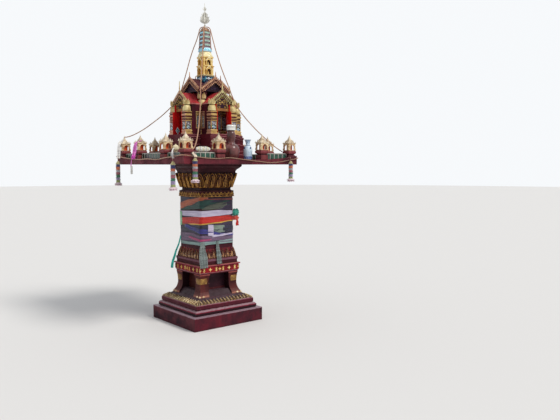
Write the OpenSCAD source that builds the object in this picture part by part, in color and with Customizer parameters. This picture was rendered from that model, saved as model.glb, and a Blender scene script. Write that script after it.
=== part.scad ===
// Spirit house on a pedestal: a small shrine with a cross-shaped, gabled chapel and a
// spire, standing on a square tray that a stepped and carved pedestal holds up.
// The origin is on the ground at the middle of the plinth, with +Z up. The open
// entrance side of the tray faces -Y. All sizes are in millimetres.

/* [Pedestal foot] */
// Width of the square plinth block
plinth_w = 713; // [660:1:760]
// Height of the plinth block
plinth_h = 115; // [80:1:150]
// Width of the second step
step_w = 640; // [620:1:655]
// Height of the second step
step_h = 43; // [30:1:60]
// Width of the third step
lip_w = 600; // [580:1:615]
// Height of the third step
lip_h = 45; // [30:1:60]
// Height of the leaf-carved slope
slope_h = 42; // [30:1:60]
// Height of the plain slope above the leaves
taper_h = 45; // [30:1:60]

/* [Waist] */
// Width over the shanks of the four lion legs
waist_w = 380; // [350:1:400]
// Height of the lion legs above the slope
waist_h = 153; // [130:1:180]
// Width of the dark core between the legs
core_w = 240; // [220:1:260]
// Width of a leg's shank on each face
leg_w = 82; // [70:1:95]

/* [Cornice and crown] */
// Width of the painted cornice band
cornice_w = 420; // [405:1:440]
// Height of the cornice band with its mouldings
cornice_h = 79; // [65:1:95]
// Height of the step under the crown
riser_h = 54; // [40:1:70]
// Height of the crown of flame leaves
crown_h = 85; // [70:1:100]

/* [Shaft and capital] */
// Width of the square shaft
shaft_w = 337; // [320:1:350]
// Height of the shaft
shaft_h = 457; // [420:1:500]
// Height of the zigzag band
zigzag_h = 53; // [40:1:65]
// Height of the neck under the petals
neck_h = 30; // [20:1:40]
// Height of the row of lotus petals
lotus_h = 125; // [110:1:140]
// Width over the tops of the petals
lotus_w = 420; // [400:1:435]
// Height of the cove under the tray
cove_h = 75; // [60:1:90]
// Width of the cove at its top
cove_w = 459; // [440:1:500]

/* [Tray] */
// Width of the square tray
tray_w = 1156; // [1120:1:1190]
// Thickness of the tray
tray_t = 38; // [30:1:50]
// Thickness of the rim boards
rim_t = 10; // [8:1:16]
// How far the rim rises at its corners
rim_rise = 36; // [20:1:45]
// Distance of the inner lanterns from the middle line of a side
inner_lantern = 222; // [200:1:245]
// Diameter of the rope on the rim and of the four stays
rope_d = 10; // [8:1:12]

/* [Lanterns and balustrade] */
// Width of a lantern's square post
post_w = 74; // [60:1:76]
// Height of a lantern's post
post_h = 44; // [38:1:60]
// Width of the bowl on a post
bowl_w = 86; // [80:1:92]
// Height of the bowl
bowl_h = 40; // [34:1:48]
// Width of a lantern's pavilion
pavilion_w = 76; // [68:1:78]
// Height of a lantern's pavilion
pavilion_h = 62; // [58:1:72]
// Width of the four arches of a pavilion
arch_w = 46; // [38:1:52]
// Height of the arches
arch_h = 50; // [44:1:52]
// Height of a lantern's roof
lantern_roof_h = 57; // [50:1:70]
// Height of the balustrade
rail_h = 60; // [50:1:70]
// Thickness of the balustrade
rail_t = 12; // [10:1:16]
// Width of one glazed square with its frame
square_pitch = 47; // [42:1:60]
// Width of the frame between two squares
square_bar = 8; // [6:1:10]

/* [Offerings] */
// Diameter of the gourd-shaped bottle
gourd_d = 128; // [110:1:140]
// Height of the bottle with its cap
gourd_h = 292; // [260:1:310]
// Diameter of the blue vase
vase_d = 78; // [66:1:88]
// Height of the blue vase
vase_h = 172; // [150:1:190]
// Diameter of the small jar
jar_d = 56; // [46:1:66]
// Height of the small jar
jar_h = 127; // [100:1:140]
// Length of the garland laid on the balustrade
laid_l = 124; // [100:1:150]

/* [Chapel] */
// Distance from the middle to the porch columns
porch_out = 260; // [250:1:270]
// Distance of the columns from the middle line of a porch
porch_half = 105; // [98:1:112]
// Width of a porch column
column_w = 70; // [62:1:76]
// Distance of the body pillars from the middle lines
body_half = 105; // [98:1:112]
// Width of a body pillar
pillar_w = 72; // [64:1:78]
// Thickness of the porch walls
wall_t = 12; // [10:1:16]
// Height of the stepped base of the chapel
base_h = 222; // [200:1:240]
// Height of a column under its capital
column_h = 196; // [180:1:215]
// Height of a bell capital
bell_h = 58; // [50:1:66]
// Half the width of a lower roof
lower_half = 126; // [118:1:132]
// Rise of a lower roof
lower_rise = 98; // [88:1:106]
// Distance from the middle to the upper gables
upper_out = 163; // [156:1:172]
// Half the width of an upper roof
upper_half = 146; // [138:1:154]
// Rise of an upper roof
upper_rise = 105; // [95:1:114]
// Height of the raised body above the porch walls
body_rise = 118; // [110:1:128]
// Height of the flames at the corners of the capitals
flame_h = 50; // [40:1:60]
// Height of a lower gable's horn
lower_horn = 96; // [70:1:110]
// Height of an upper gable's horn
upper_horn = 58; // [45:1:70]
// Depth of a carved gable board
board_d = 34; // [26:1:40]
// Thickness of a roof's boards
roof_t = 9; // [7:1:12]

/* [Spire] */
// Width of the mirrored block at the foot of the spire
drum_w = 108; // [96:1:120]
// Height of the mirrored block above the ridges
drum_h = 40; // [30:1:55]
// Width of the lower niche tier
niche_w = 104; // [94:1:112]
// Height of the lower niche tier
niche_h = 82; // [70:1:92]
// Height of the upper niche tier
niche2_h = 75; // [66:1:86]
// Height of the curved roof over the niche tiers
dome_h = 50; // [42:1:60]
// Width of the flared hem at the foot of the mirrored tiers
stack_w = 92; // [84:1:98]
// Width of the highest mirrored tier
stack_top_w = 69; // [60:1:74]
// Height of the stack of mirrored tiers
stack_h = 177; // [160:1:196]
// Number of mirrored tiers
stack_n = 5; // [3:1:7]
// Height of the finial with its cap
finial_h = 253; // [236:1:268]

/* [Hidden] */
$fn = 48;
seat = 0.3;
// Levels, from the ground up
z_step = plinth_h;
z_lip = z_step + step_h;
z_slope = z_lip + lip_h;
z_taper = z_slope + slope_h;
z_waist = z_taper + taper_h;
z_cornice = z_waist + waist_h;
z_riser = z_cornice + cornice_h;
z_crown = z_riser + riser_h;
z_shaft = z_crown + crown_h;
z_zigzag = z_shaft + shaft_h;
z_neck = z_zigzag + zigzag_h;
z_lotus = z_neck + neck_h;
z_cove = z_lotus + lotus_h;
z_tray = z_cove + cove_h;
z_floor = z_tray + tray_t;
z_bowl = z_floor + post_h;
z_pavilion = z_bowl + bowl_h;
z_lantern_roof = z_pavilion + pavilion_h;
z_porch = z_floor + base_h;
z_bell = z_porch + column_h;
z_eave = z_bell + bell_h;
z_upper = z_eave + body_rise;
z_ridge = z_upper + upper_rise + 12;
z_drum = z_ridge + drum_h;
z_niche2 = z_drum + niche_h;
z_dome = z_niche2 + niche2_h;
z_stack = z_dome + dome_h;
z_cap = z_stack + stack_h;
// Distance of the lanterns and of the rope on the rim from the middle
ring = tray_w / 2 - rim_t - seat - post_w / 2;
rope_r = tray_w / 2 + rope_d / 2 + seat;
// Courses of the pedestal
band_r = cornice_w / 2;
slope_top = lip_w / 2 - 76;
waist_foot = waist_w / 2 - 10;
crown_foot = shaft_w / 2 + 20;
neck_r = shaft_w / 2 - 4;
petal_t = 9;
leaf_t = 6;
sash_t = 9;
board_t = 10;
tier_step = stack_h / stack_n;
// Faces of the chapel: outside of the porches, and inside and outside of the body pillars
porch_face = porch_out + column_w / 2;
pillar_in = body_half - pillar_w / 2;
pillar_out = body_half + pillar_w / 2;
lower_out = porch_out + 5;
// Height of the leaf flames over the bells of the body pillars
pillar_flame = 61;

// Twelve lantern places: four corners and two on each side
lantern_places = [for (k = [0:3]) for (s = [-ring, -inner_lantern, inner_lantern])
    turned([s, -ring], k)];
function turned(p, k) = k == 0 ? p : turned([-p[1], p[0]], k - 1);

// An outline (radius, height) mitred round the four sides of a square
module square_turning(outline) {
    reach = max([for (p = outline) p[0]]) * 2 + 4;
    both = concat(outline, [for (i = [len(outline) - 1:-1:0]) [-outline[i][0], outline[i][1]]]);
    intersection() {
        rotate([90, 0, 0]) linear_extrude(reach, center = true) polygon(both);
        rotate([90, 0, 90]) linear_extrude(reach, center = true) polygon(both);
    }
}

module square_block(w, z0, z1) {
    translate([-w / 2, -w / 2, z0]) cube([w, w, z1 - z0]);
}

module four_sides() {
    for (k = [0:3]) rotate(90 * k) children();
}

function arc(cx, cz, r, a0, a1, n) =
    [for (i = [0:n]) let (a = a0 + (a1 - a0) * i / n) [cx + r * cos(a), cz + r * sin(a)]];

// Pointed leaf of width w and height h, standing on the x axis
module leaf(w, h) {
    r = (w * w / 4 + h * h) / w;
    intersection() {
        translate([r - w / 2, 0]) circle(r, $fn = 240);
        translate([w / 2 - r, 0]) circle(r, $fn = 240);
        translate([-w / 2, 0]) square([w, h]);
    }
}

// A row of n leaves laid on a slope from radius r0 at z0 to radius r1 at z1
module leaf_row(n, w, r0, z0, r1, z1, t) {
    tilt = atan2(r1 - r0, z1 - z0);
    long = norm([r1 - r0, z1 - z0]);
    span = 2 * min(r0, r1);
    for (i = [0:n - 1])
        translate([span * ((i + 0.5) / n - 0.5), -r0, z0]) rotate([90 + tilt, 0, 0])
            linear_extrude(t) leaf(w, long);
}

// One leaf standing on a corner of the same slope
module corner_leaf(w, r0, z0, r1, z1, t) {
    tilt = atan2((r1 - r0) * sqrt(2), z1 - z0);
    long = norm([(r1 - r0) * sqrt(2), z1 - z0]);
    rotate(45) translate([0, 1 - r0 * sqrt(2), z0]) rotate([90 + tilt, 0, 0])
        linear_extrude(t - 1) leaf(w, long);
}

module plinth_block() color([0.42, 0.08, 0.09]) square_block(plinth_w, 0, plinth_h);

// Second and third steps with their chamfered top edges, and the slopes above them
module plinth_steps() color([0.36, 0.07, 0.08]) square_turning([
    [0, z_step], [step_w / 2 - 5, z_step], [step_w / 2 - 5, z_step + 5],
    [step_w / 2, z_step + 9], [step_w / 2, z_lip - 12], [step_w / 2 - 12, z_lip],
    [lip_w / 2 - 4, z_lip], [lip_w / 2 - 4, z_lip + 6], [lip_w / 2, z_lip + 10],
    [lip_w / 2, z_slope - 7], [lip_w / 2 - 7, z_slope],
    [slope_top, z_taper], [slope_top - 6, z_taper], [waist_foot, z_waist], [0, z_waist]]);

module base_leaves() color([0.75, 0.6, 0.35]) four_sides()
    leaf_row(11, 36, lip_w / 2 - 7, z_slope, slope_top, z_taper, leaf_t);

module waist_core() color([0.1, 0.04, 0.05]) square_block(core_w, z_waist, z_cornice);

// Outline of a lion leg: a wide toe on the slope's foot, a hollow shank and a spreading knee.
// Each edge is a list of the share of the height and the distance from the axis of the shrine
module leg_outline() {
    tall = taper_h + waist_h;
    half = waist_w / 2;
    outer = [[0, 29], [0.025, 30], [0.055, 30], [0.1, 27], [0.15, 20], [0.23, 11], [0.33, 5],
        [0.45, 0.5], [0.6, 0], [0.76, 2], [0.88, 6], [0.95, 9.5], [1, 9]];
    inner = [[1, -10], [0.9, -6], [0.7, -1], [0.45, 0], [0.3, 3], [0.15, 10], [0, 13]];
    polygon(concat([for (p = outer) [half + p[1], tall * p[0]]],
        [for (p = inner) [half - leg_w + p[1], tall * p[0]]]));
}

module lion_legs() color([0.5, 0.2, 0.13]) difference() {
    four_sides() translate([0, 0, z_taper]) intersection() {
        translate([0, waist_w, 0]) rotate([90, 0, 0]) linear_extrude(waist_w) leg_outline();
        rotate([90, 0, 90]) linear_extrude(waist_w) leg_outline();
    }
    square_block(core_w, z_waist - 1, z_cornice + 1);
    square_turning([[0, z_taper - 1], [slope_top - 6 + seat, z_taper - 1],
        [slope_top - 6 + seat, z_taper], [waist_foot + seat, z_waist], [0, z_waist]]);
}

// Painted band between its lower moulding and the projecting ledge
module cornice_band() color([0.55, 0.1, 0.12]) square_turning([
    [0, z_cornice], [band_r - 12, z_cornice], [band_r - 10, z_cornice + 7],
    [band_r - 8, z_cornice + 9], [band_r - 4, z_cornice + 16], [band_r - 4, z_riser - 15],
    [band_r + 4, z_riser - 11], [band_r + 7, z_riser - 9], [band_r + 7, z_riser], [0, z_riser]]);

module crown_core() color([0.4, 0.1, 0.1]) square_turning([
    [0, z_riser], [shaft_w / 2 + 28, z_riser], [shaft_w / 2 + 28, z_riser + riser_h * 0.52],
    [shaft_w / 2 + 32, z_riser + riser_h * 0.62], [shaft_w / 2 + 32, z_crown - 6],
    [shaft_w / 2 + 29, z_crown], [crown_foot, z_crown], [shaft_w / 2 + 2, z_shaft], [0, z_shaft]]);

module crown_leaves() color([0.8, 0.6, 0.45]) four_sides() {
    leaf_row(7, 46, crown_foot, z_crown, shaft_w / 2 + 2, z_shaft, leaf_t);
    corner_leaf(40, crown_foot, z_crown, shaft_w / 2 + 2, z_shaft, leaf_t);
}

module shaft() color([0.35, 0.1, 0.12]) square_block(shaft_w, z_shaft, z_zigzag);

// Cloth sashes wound round the shaft, as one soft sleeve with rounded corners
module sashes() color([0.6, 0.2, 0.3]) {
    lap = 34;
    translate([0, 0, z_shaft + lap]) linear_extrude(shaft_h - 2 * lap) difference() {
        w = shaft_w + 2 * sash_t;
        union() {
            square([w, w - 2 * sash_t], center = true);
            square([w - 2 * sash_t, w], center = true);
            for (k = [0:3]) rotate(90 * k) translate([shaft_w / 2, shaft_w / 2]) circle(sash_t);
        }
        square(shaft_w + 2 * seat, center = true);
    }
}

// Gold band with a row of small pointed teeth on each face
module zigzag_band() color([0.8, 0.65, 0.3]) {
    teeth = 9;
    relief = 5;
    w = shaft_w + 14;
    square_block(w, z_zigzag, z_neck);
    four_sides() translate([0, -w / 2, z_zigzag]) rotate([90, 0, 0]) linear_extrude(relief)
        polygon(concat([[-w / 2, 0]],
            [for (i = [0:teeth - 1]) for (s = [0, 1])
                [w * ((i + 0.5 * s) / teeth - 0.5), s == 0 ? zigzag_h * 0.4 : zigzag_h * 0.92]],
            [[w / 2, zigzag_h * 0.4], [w / 2, 0]]));
}

// Neck and flaring core behind the petals, and the plain cove that carries the tray
module capital_core() color([0.32, 0.07, 0.08]) square_turning(concat(
    [[0, z_neck], [neck_r, z_neck], [neck_r - 8, z_neck + 8], [neck_r - 8, z_lotus - 8],
        [neck_r, z_lotus], [lotus_w / 2 - petal_t - 4, z_cove]],
    arc(cove_w / 2, z_cove + 4, cove_w / 2 - lotus_w / 2 + 22, 180, 116, 6),
    [[cove_w / 2, z_tray - 14], [cove_w / 2, z_tray], [0, z_tray]]));

// Tall lotus petals, five on a face and one folded over each corner
module lotus_petals() color([0.75, 0.6, 0.3]) {
    top = lotus_w / 2 - petal_t - 4;
    w = neck_r * 2 / 5 - 4;
    four_sides() {
        leaf_row(5, w, neck_r, z_lotus, top, z_cove, petal_t);
        corner_leaf(w, neck_r, z_lotus, top, z_cove, petal_t);
    }
}

module tray_floor() color([0.4, 0.12, 0.14]) square_block(tray_w - 2 * rim_t, z_tray, z_floor);

// Height of the rim's top edge at share s of the half side
function rim_height(s) = z_floor + 3 + rim_rise * pow(abs(s), 3);

// Rim boards whose top edge sweeps up to the four corners
module tray_rim() color([0.45, 0.1, 0.14]) {
    half = tray_w / 2;
    steps = 14;
    edge = [for (i = [-steps:steps]) [i / steps * half, rim_height(i / steps) - z_tray]];
    four_sides() intersection() {
        translate([0, -half + rim_t, z_tray]) rotate([90, 0, 0]) linear_extrude(rim_t)
            polygon(concat([[half, 0], [-half, 0]], edge));
        translate([0, 0, z_tray - 1]) linear_extrude(tray_t + rim_rise + 10)
            polygon([[-half, -half], [half, -half], [half - rim_t, -half + rim_t],
                [rim_t - half, -half + rim_t]]);
    }
}

// A tube of diameter d swept along points, with n sides; a closed one joins its two ends
module tube(path, d, n = 8, closed = false) {
    m = len(path);
    before = function(i) closed ? (i + m - 1) % m : max(i - 1, 0);
    after = function(i) closed ? (i + 1) % m : min(i + 1, m - 1);
    dirs = [for (i = [0:m - 1]) let (v = path[after(i)] - path[before(i)]) v / norm(v)];
    rings = [for (i = [0:m - 1]) let (t = dirs[i], a = cross(t, abs(t[2]) > 0.9 ? [1, 0, 0] : [0, 0, 1]),
        u = a / norm(a), w = cross(u, t)) [for (j = [0:n - 1])
            path[i] + d / 2 * (cos(360 * j / n) * u + sin(360 * j / n) * w)]];
    sides = [for (i = [0:closed ? m - 1 : m - 2]) for (j = [0:n - 1]) let (k = (j + 1) % n, q = after(i))
        [i * n + j, q * n + j, q * n + k, i * n + k]];
    ends = [[for (j = [0:n - 1]) j], [for (j = [n - 1:-1:0]) (m - 1) * n + j]];
    polyhedron([for (r = rings) for (p = r) p], closed ? sides : concat(ends, sides));
}

// Rope laid against the rim, high at the corners and sagging in waves between them
rim_waves = [[34, 18, 8, 15, 2, -12, -22, -8], [18, 6, 10, -2, 8, 4, -6, 16],
    [34, 16, 4, 10, -6, 6, 12, 20], [34, 22, 10, 4, 8, 2, 14, 24]];
// Height of the rope above the floor on side k, at share s of the half side
function rope_height(k, s) = let (w = rim_waves[k], n = len(w))
    lookup(s, concat([for (i = [0:n - 1]) [2 * i / n - 1, w[i]]], [[1, rim_waves[(k + 1) % 4][0]]]));
module rim_rope() color([0.75, 0.6, 0.45]) {
    points = len(rim_waves[0]);
    tube([for (k = [0:3]) for (i = [0:points - 1])
        let (p = turned([rope_r * (2 * i / points - 1), -rope_r], k))
        [p[0], p[1], z_floor + rim_waves[k][i]]], rope_d, 8, true);
}

// Post of a lantern, with a square bowl on a narrower foot
module lantern_posts() color([0.48, 0.16, 0.18]) for (p = lantern_places) translate(p) {
    round = 18;
    foot = post_w / 2 - 8;
    square_turning(concat([[0, z_floor], [post_w / 2, z_floor], [post_w / 2, z_bowl],
        [foot, z_bowl], [foot, z_bowl + 7]],
        arc(bowl_w / 2 - round, z_bowl + 7 + round, round, -75, 44, 7),
        [[pavilion_w / 2 - 1, z_pavilion], [0, z_pavilion]]));
}

// Round-headed opening of width w and height h, standing on the x axis
module arch_outline(w, h) {
    translate([-w / 2, 0]) square([w, h - w / 2]);
    translate([0, h - w / 2]) circle(w / 2);
}

// Pavilion on four corner posts, open through its four arches, each with a raised hood
module lantern_pavilions() color([0.85, 0.75, 0.5]) for (p = lantern_places)
    translate([p[0], p[1], z_pavilion]) difference() {
        sill = 4;
        hood = 4;
        union() {
            square_block(pavilion_w, 0, pavilion_h);
            four_sides() translate([0, -pavilion_w / 2 + 1, sill]) rotate([90, 0, 0])
                linear_extrude(hood + 1) arch_outline(arch_w + 3 * hood, arch_h + 1.5 * hood);
        }
        for (k = [0, 1]) rotate(90 * k) translate([0, 0, sill]) rotate([90, 0, 0])
            linear_extrude(pavilion_w + 4 * hood, center = true) arch_outline(arch_w, arch_h);
    }

// Steep roof with flared eaves
module lantern_roofs() color([0.9, 0.85, 0.65]) for (p = lantern_places)
    translate([p[0], p[1], z_lantern_roof]) {
        eave = pavilion_w / 2 + 6;
        square_turning(concat([[0, 0], [eave, 0], [eave, 3]],
            arc(eave + 1, 30, 26, -98, -158, 6), [[5, lantern_roof_h - 5], [0, lantern_roof_h]]));
    }

// Balustrade bays between the posts; the middle bay of the front is left open
module bays() {
    gap = post_w / 2 + 0.5;
    for (k = [0:3]) for (b = [[-ring, -inner_lantern], [-inner_lantern, inner_lantern], [inner_lantern, ring]])
        if (!(k == 0 && b[0] == -inner_lantern)) rotate(90 * k)
            translate([b[0] + gap, -ring, z_floor]) {
                $bay = b[1] - b[0] - 2 * gap;
                children();
            }
}

module squares(depth, grow) {
    count = round($bay / square_pitch);
    pitch = ($bay - square_bar) / count;
    for (i = [0:count - 1]) translate([square_bar + i * pitch - grow, -depth / 2, square_bar - grow])
        cube([pitch - square_bar + 2 * grow, depth, rail_h - 2 * square_bar + 2 * grow]);
}

module balustrade_frames() color([0.85, 0.88, 0.8]) bays() difference() {
    translate([0, -rail_t / 2, 0]) cube([$bay, rail_t, rail_h]);
    squares(rail_t + 2, 0);
    // Small notches that let the rails pass under the bowls of the lanterns
    for (x = [-1, $bay - 4]) translate([x, -rail_t, rail_h - 5]) cube([5, 2 * rail_t, 6]);
}

module glazed_squares() color([0.2, 0.5, 0.35]) bays() squares(rail_t - 6, 0);

// Striped garlands hung outside the rim: a loop over the rope, a tube of strung flowers
// and a skirt. Each has its side, its share of the half side, its top and its length
garland_places = [[3, -0.87, -9, 214], [3, 0.81, -17, 222], [0, -0.86, 9, 186], [0, 0.83, -10, 174]];
garland_r = 21;
skirt_r = 42;
skirt_h = 28;
loop_r = 3;
module garlands() color([0.8, 0.5, 0.5]) for (g = garland_places) {
    out = tray_w / 2 + seat + rope_d + garland_r + 1;
    along = g[1] * tray_w / 2;
    top = max(rope_height(g[0], along / rope_r) + rope_d / 2, rim_height(g[1]) - z_floor) + loop_r + seat;
    rotate(90 * g[0]) translate([along, -out, z_floor]) {
        translate([0, 0, g[2] - g[3]]) rotate_extrude() polygon([[0, 0], [skirt_r, 5],
            [skirt_r - 3, 10], [garland_r - 2, skirt_h], [garland_r, skirt_h + 8],
            [garland_r, g[3] - 24], [garland_r - 5, g[3] - 9], [5, g[3]], [0, g[3]]]);
        translate([0, 0, g[2] - 1]) cylinder(r = loop_r, h = top - g[2] + 1 + loop_r);
        translate([0, 0, top]) rotate([-90, 0, 0]) cylinder(r = loop_r, h = out - tray_w / 2 + rim_t);
    }
}

// Offerings on the tray, placed from the line of the lanterns
module gourd_bottle() color([0.5, 0.3, 0.15]) translate([-38, 86 - ring, z_floor]) {
    waist = gourd_h - 150;
    belly = gourd_d / 2;
    neck = gourd_h - 52;
    rotate_extrude() polygon(concat([[0, 0], [belly * 0.55, 0]],
        [for (a = [-60:12:60]) [belly * (0.25 + 0.75 * cos(a)), waist * (0.57 + 0.5 * sin(a))]],
        [[belly * 0.42, waist], [belly * 0.48, waist + 20], [belly * 0.6, neck - 36],
            [belly * 0.57, neck - 20], [belly * 0.4, neck], [belly * 0.4, neck + 6],
            [belly * 0.6, neck + 7], [belly * 0.6, gourd_h - 12], [belly * 0.52, gourd_h], [0, gourd_h]]));
}

module blue_vase() color([0.8, 0.88, 0.92]) translate([121, 66 - ring, z_floor]) {
    r = vase_d / 2;
    neck = vase_h - 48;
    rotate_extrude() polygon(concat([[0, 0], [r * 0.84, 0], [r * 0.9, 5],
        [r * 0.92, neck * 0.25], [r * 0.97, neck * 0.5], [r, neck * 0.68], [r * 0.98, neck * 0.79],
        [r * 0.87, neck * 0.9], [r * 0.65, neck * 0.97]], [[r * 0.44, neck + 2], [r * 0.46, neck + 22], [r * 0.76, vase_h], [r * 0.64, vase_h],
            [r * 0.32, neck + 22], [r * 0.3, neck], [0, neck - 4]]));
}

module cream_jar() color([0.9, 0.85, 0.7]) translate([46 - ring, -300, z_floor]) {
    r = jar_d / 2;
    body = jar_h - 35;
    rotate_extrude() polygon(concat([[0, 0], [r * 0.64, 0], [r * 0.5, body - 24]],
        [for (a = [-44:12:62]) [r * cos(a), body + r * sin(a)]], [[r * 0.5, jar_h - 6], [0, jar_h]]));
}

module laid_garland() color([0.92, 0.9, 0.85]) translate([-(ring + inner_lantern) / 2, -ring, z_floor + rail_h + 18])
    rotate([0, 90, 0]) rotate_extrude()
        polygon([[0, -laid_l / 2], [12, 4 - laid_l / 2], [18, 18 - laid_l / 2],
            [18, laid_l / 2 - 18], [12, laid_l / 2 - 4], [0, laid_l / 2]]);

// Cross-shaped plan: arms of reach a and half-width b, with a square of half-width c
module cross_plan(a, b, c) {
    square([2 * a, 2 * b], center = true);
    square([2 * b, 2 * a], center = true);
    square(2 * c, center = true);
}

module chapel_base() color([0.35, 0.07, 0.1]) {
    a = porch_out + column_w / 2;
    b = porch_half + column_w / 2;
    c = body_half + pillar_w / 2;
    // Each course: how far it stands out, and the shares of the height it fills
    for (s = [[34, 0, 0.22], [22, 0.22, 0.3], [28, 0.3, 0.36], [16, 0.36, 0.62],
        [10, 0.62, 0.84], [14, 0.84, 0.92], [6, 0.92, 1]])
        translate([0, 0, z_floor + base_h * s[1]]) linear_extrude(base_h * (s[2] - s[1]))
            cross_plan(a + s[0], b + s[0], c + s[0]);
}

// Side walls of the porches, each from its column to the body pillar
module porch_walls() color([0.4, 0.07, 0.12]) {
    from = pillar_out + seat;
    to = porch_out - column_w / 2 - seat;
    four_sides() for (s = [-1, 1])
        translate([s * (porch_half + column_w / 2 - 14) - wall_t / 2, -to, z_porch])
            cube([wall_t, to - from, column_h + bell_h]);
}

module at_columns() {
    four_sides() for (s = [-1, 1]) translate([s * porch_half, -porch_out, 0]) children();
}

module at_pillars() {
    for (sx = [-1, 1]) for (sy = [-1, 1]) translate([sx * body_half, sy * body_half, 0]) children();
}

// Square column: stepped foot, mosaic shaft and four rings under the capital
module column(w, z, h) {
    r = w / 2;
    translate([0, 0, z]) square_turning(concat([[0, 0], [r, 0], [r, 12], [r - 5, 16], [r - 5, 22],
        [r - 2, 26], [r - 2, 34], [r - 7, 40], [r - 7, h - 62]],
        [for (i = [0:3]) for (q = [[-7, 0], [-3, 2], [-3, 8], [-7, 10]])
            [r + q[0], h - 60 + 15 * i + q[1]]],
        [[r - 7, h], [0, h]]));
}

module porch_columns() color([0.75, 0.62, 0.35]) at_columns() column(column_w, z_porch, column_h);

// Bell capital of height h on a column of width w: a round shoulder, a neck and a seat plate
module capital(w, z, h) {
    r = w / 2;
    wide = 0.45 * r - 1;
    translate([0, 0, z]) square_turning(concat([[0, 0], [r - 3, 0], [r - 1, 3]],
        [for (a = [0:15:90]) [0.55 * r + wide * cos(a), h * 0.38 + (h * 0.62 - 9) * sin(a)]],
        [[0.5 * r, h - 7], [0.5 * r, h - 4], [r - 2, h - 4], [r - 2, h], [0, h]]));
}

// Flame of three tongues on a solid base, of width w and height h
module flame(w, h) {
    leaf(w * 0.42, h);
    for (s = [-1, 1]) translate([s * w * 0.3, 0]) leaf(w * 0.4, h * 0.72);
    translate([-w * 0.45, 0]) square([w * 0.9, h * 0.36]);
}

// The porch capitals carry a flame on each of their two outer faces
module column_capitals() color([0.82, 0.7, 0.4]) {
    r = column_w / 2 - 2;
    at_columns() capital(column_w, z_bell, bell_h);
    four_sides() for (s = [-1, 1]) translate([s * porch_half, -porch_out, z_eave - 1]) {
        translate([0, 5 - r, 0]) rotate([90, 0, 0]) linear_extrude(5) flame(2 * r, flame_h);
        translate([s * (r - 2.5) - 2.5, 2.5, 0]) rotate([90, 0, 90])
            linear_extrude(5) flame(2 * r - 5, flame_h);
    }
}

// Tall pillars at the corners of the body. A leaf flame stands over the bell on both outer
// faces, and a plain block between the flames carries the roof
module body_pillars() color([0.72, 0.58, 0.35]) {
    r = pillar_w / 2;
    bell = z_upper - pillar_flame - bell_h;
    at_pillars() {
        column(pillar_w, z_porch, bell - z_porch);
        capital(pillar_w, bell, bell_h);
        square_block(pillar_w - 10, z_upper - pillar_flame - 1, z_upper - seat);
    }
    four_sides() for (s = [-1, 1]) translate([s * body_half, 6 - pillar_out, z_upper - pillar_flame - 1])
        rotate([90, 0, 0]) linear_extrude(4.5) flame(2 * r - 4, pillar_flame - 4);
}

// Beam over each porch opening, held between the bells of the capitals
module porch_beams() color([0.6, 0.42, 0.25]) {
    span = 2 * (porch_half - column_w / 2 + 1 - seat);
    four_sides() translate([-span / 2, 2 - porch_out, z_bell + 3]) cube([span, 20, 24]);
}

// Triangle under a roof of half-width w and rise h, cut off at both sides at half-width c
module tympanum(w, h, c) {
    low = h * (w - c) / w - 1;
    polygon([[-c, 0], [c, 0], [c, low], [0, h - 1], [-c, low]]);
}

// Filled gable ends of the porches, each down to its beam, and of the upper roofs
module tympana() color([0.55, 0.4, 0.25]) four_sides() {
    between = porch_half - column_w / 2 - 2 * seat;
    translate([0, 6 + board_t / 2 + seat - lower_out, z_eave + seat]) rotate([90, 0, 0])
        linear_extrude(6) {
            tympanum(lower_half, lower_rise, lower_half - 8);
            translate([-between, -31 - seat]) square([2 * between, 33]);
        }
    translate([0, 5 - pillar_out, z_upper + seat]) rotate([90, 0, 0])
        linear_extrude(11) tympanum(upper_half, upper_rise, upper_half - 6);
}

// Walls of the raised body between the lower roofs and the upper eaves, closed on top
module upper_body() color([0.3, 0.06, 0.1]) {
    outer = pillar_in - seat;
    difference() {
        square_block(2 * outer, z_eave, z_upper);
        square_block(2 * (outer - wall_t), z_eave - 1, z_upper - wall_t);
    }
}

// Outline of a roof's two slopes, of half-width w and rise h, with its eaves on the x axis
module chevron(w, h, t) {
    k = t * norm([w, h]) / w;
    polygon([[-w, 0], [0, h], [w, 0], [w, k], [0, h + k], [-w, k]]);
}

// Porch roofs, let in between the body pillars
module lower_roofs() color([0.75, 0.12, 0.1]) four_sides() {
    gable = lower_out - board_t / 2 - seat;
    translate([0, -pillar_out - seat, z_eave + seat]) rotate([90, 0, 0])
        linear_extrude(gable - pillar_out - seat) chevron(lower_half, lower_rise, roof_t);
    translate([0, -pillar_in - seat, z_eave + seat]) rotate([90, 0, 0])
        linear_extrude(pillar_w + 2) intersection() {
            chevron(lower_half, lower_rise, roof_t);
            translate([seat - pillar_in, 0]) square([2 * (pillar_in - seat), 2 * lower_rise]);
        }
}

// Carved gable on a roof of half-width w and rise h: two toothed boards that reach out to
// the half-width far, a horn at the top and a curled tip at each end, cut off at cut
module gable_outline(w, h, horn, far, cut) {
    slope = atan2(h, w);
    long = far / cos(slope);
    top = h + roof_t * norm([w, h]) / w + 3;
    teeth = 8;
    intersection() {
        union() {
            for (s = [0, 1]) mirror([s, 0]) translate([0, top]) rotate(-slope) {
                translate([0, -board_d]) square([long + 4, board_d]);
                for (i = [1:teeth]) translate([long * i / teeth - 6, 0])
                    polygon([[-7, -1], [7, -1], [-5, 9]]);
                translate([long, -board_d * 0.45]) circle(board_d * 0.42);
                translate([long + 6, -board_d * 0.4]) polygon([[0, -8], [0, 10], [14, 22]]);
            }
            translate([0, top - 4]) polygon([[-8, 0], [8, 0], [3, horn * 0.5], [0, horn], [-3, horn * 0.5]]);
        }
        translate([-cut, seat]) square([2 * cut, 2 * w]);
    }
}

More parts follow.
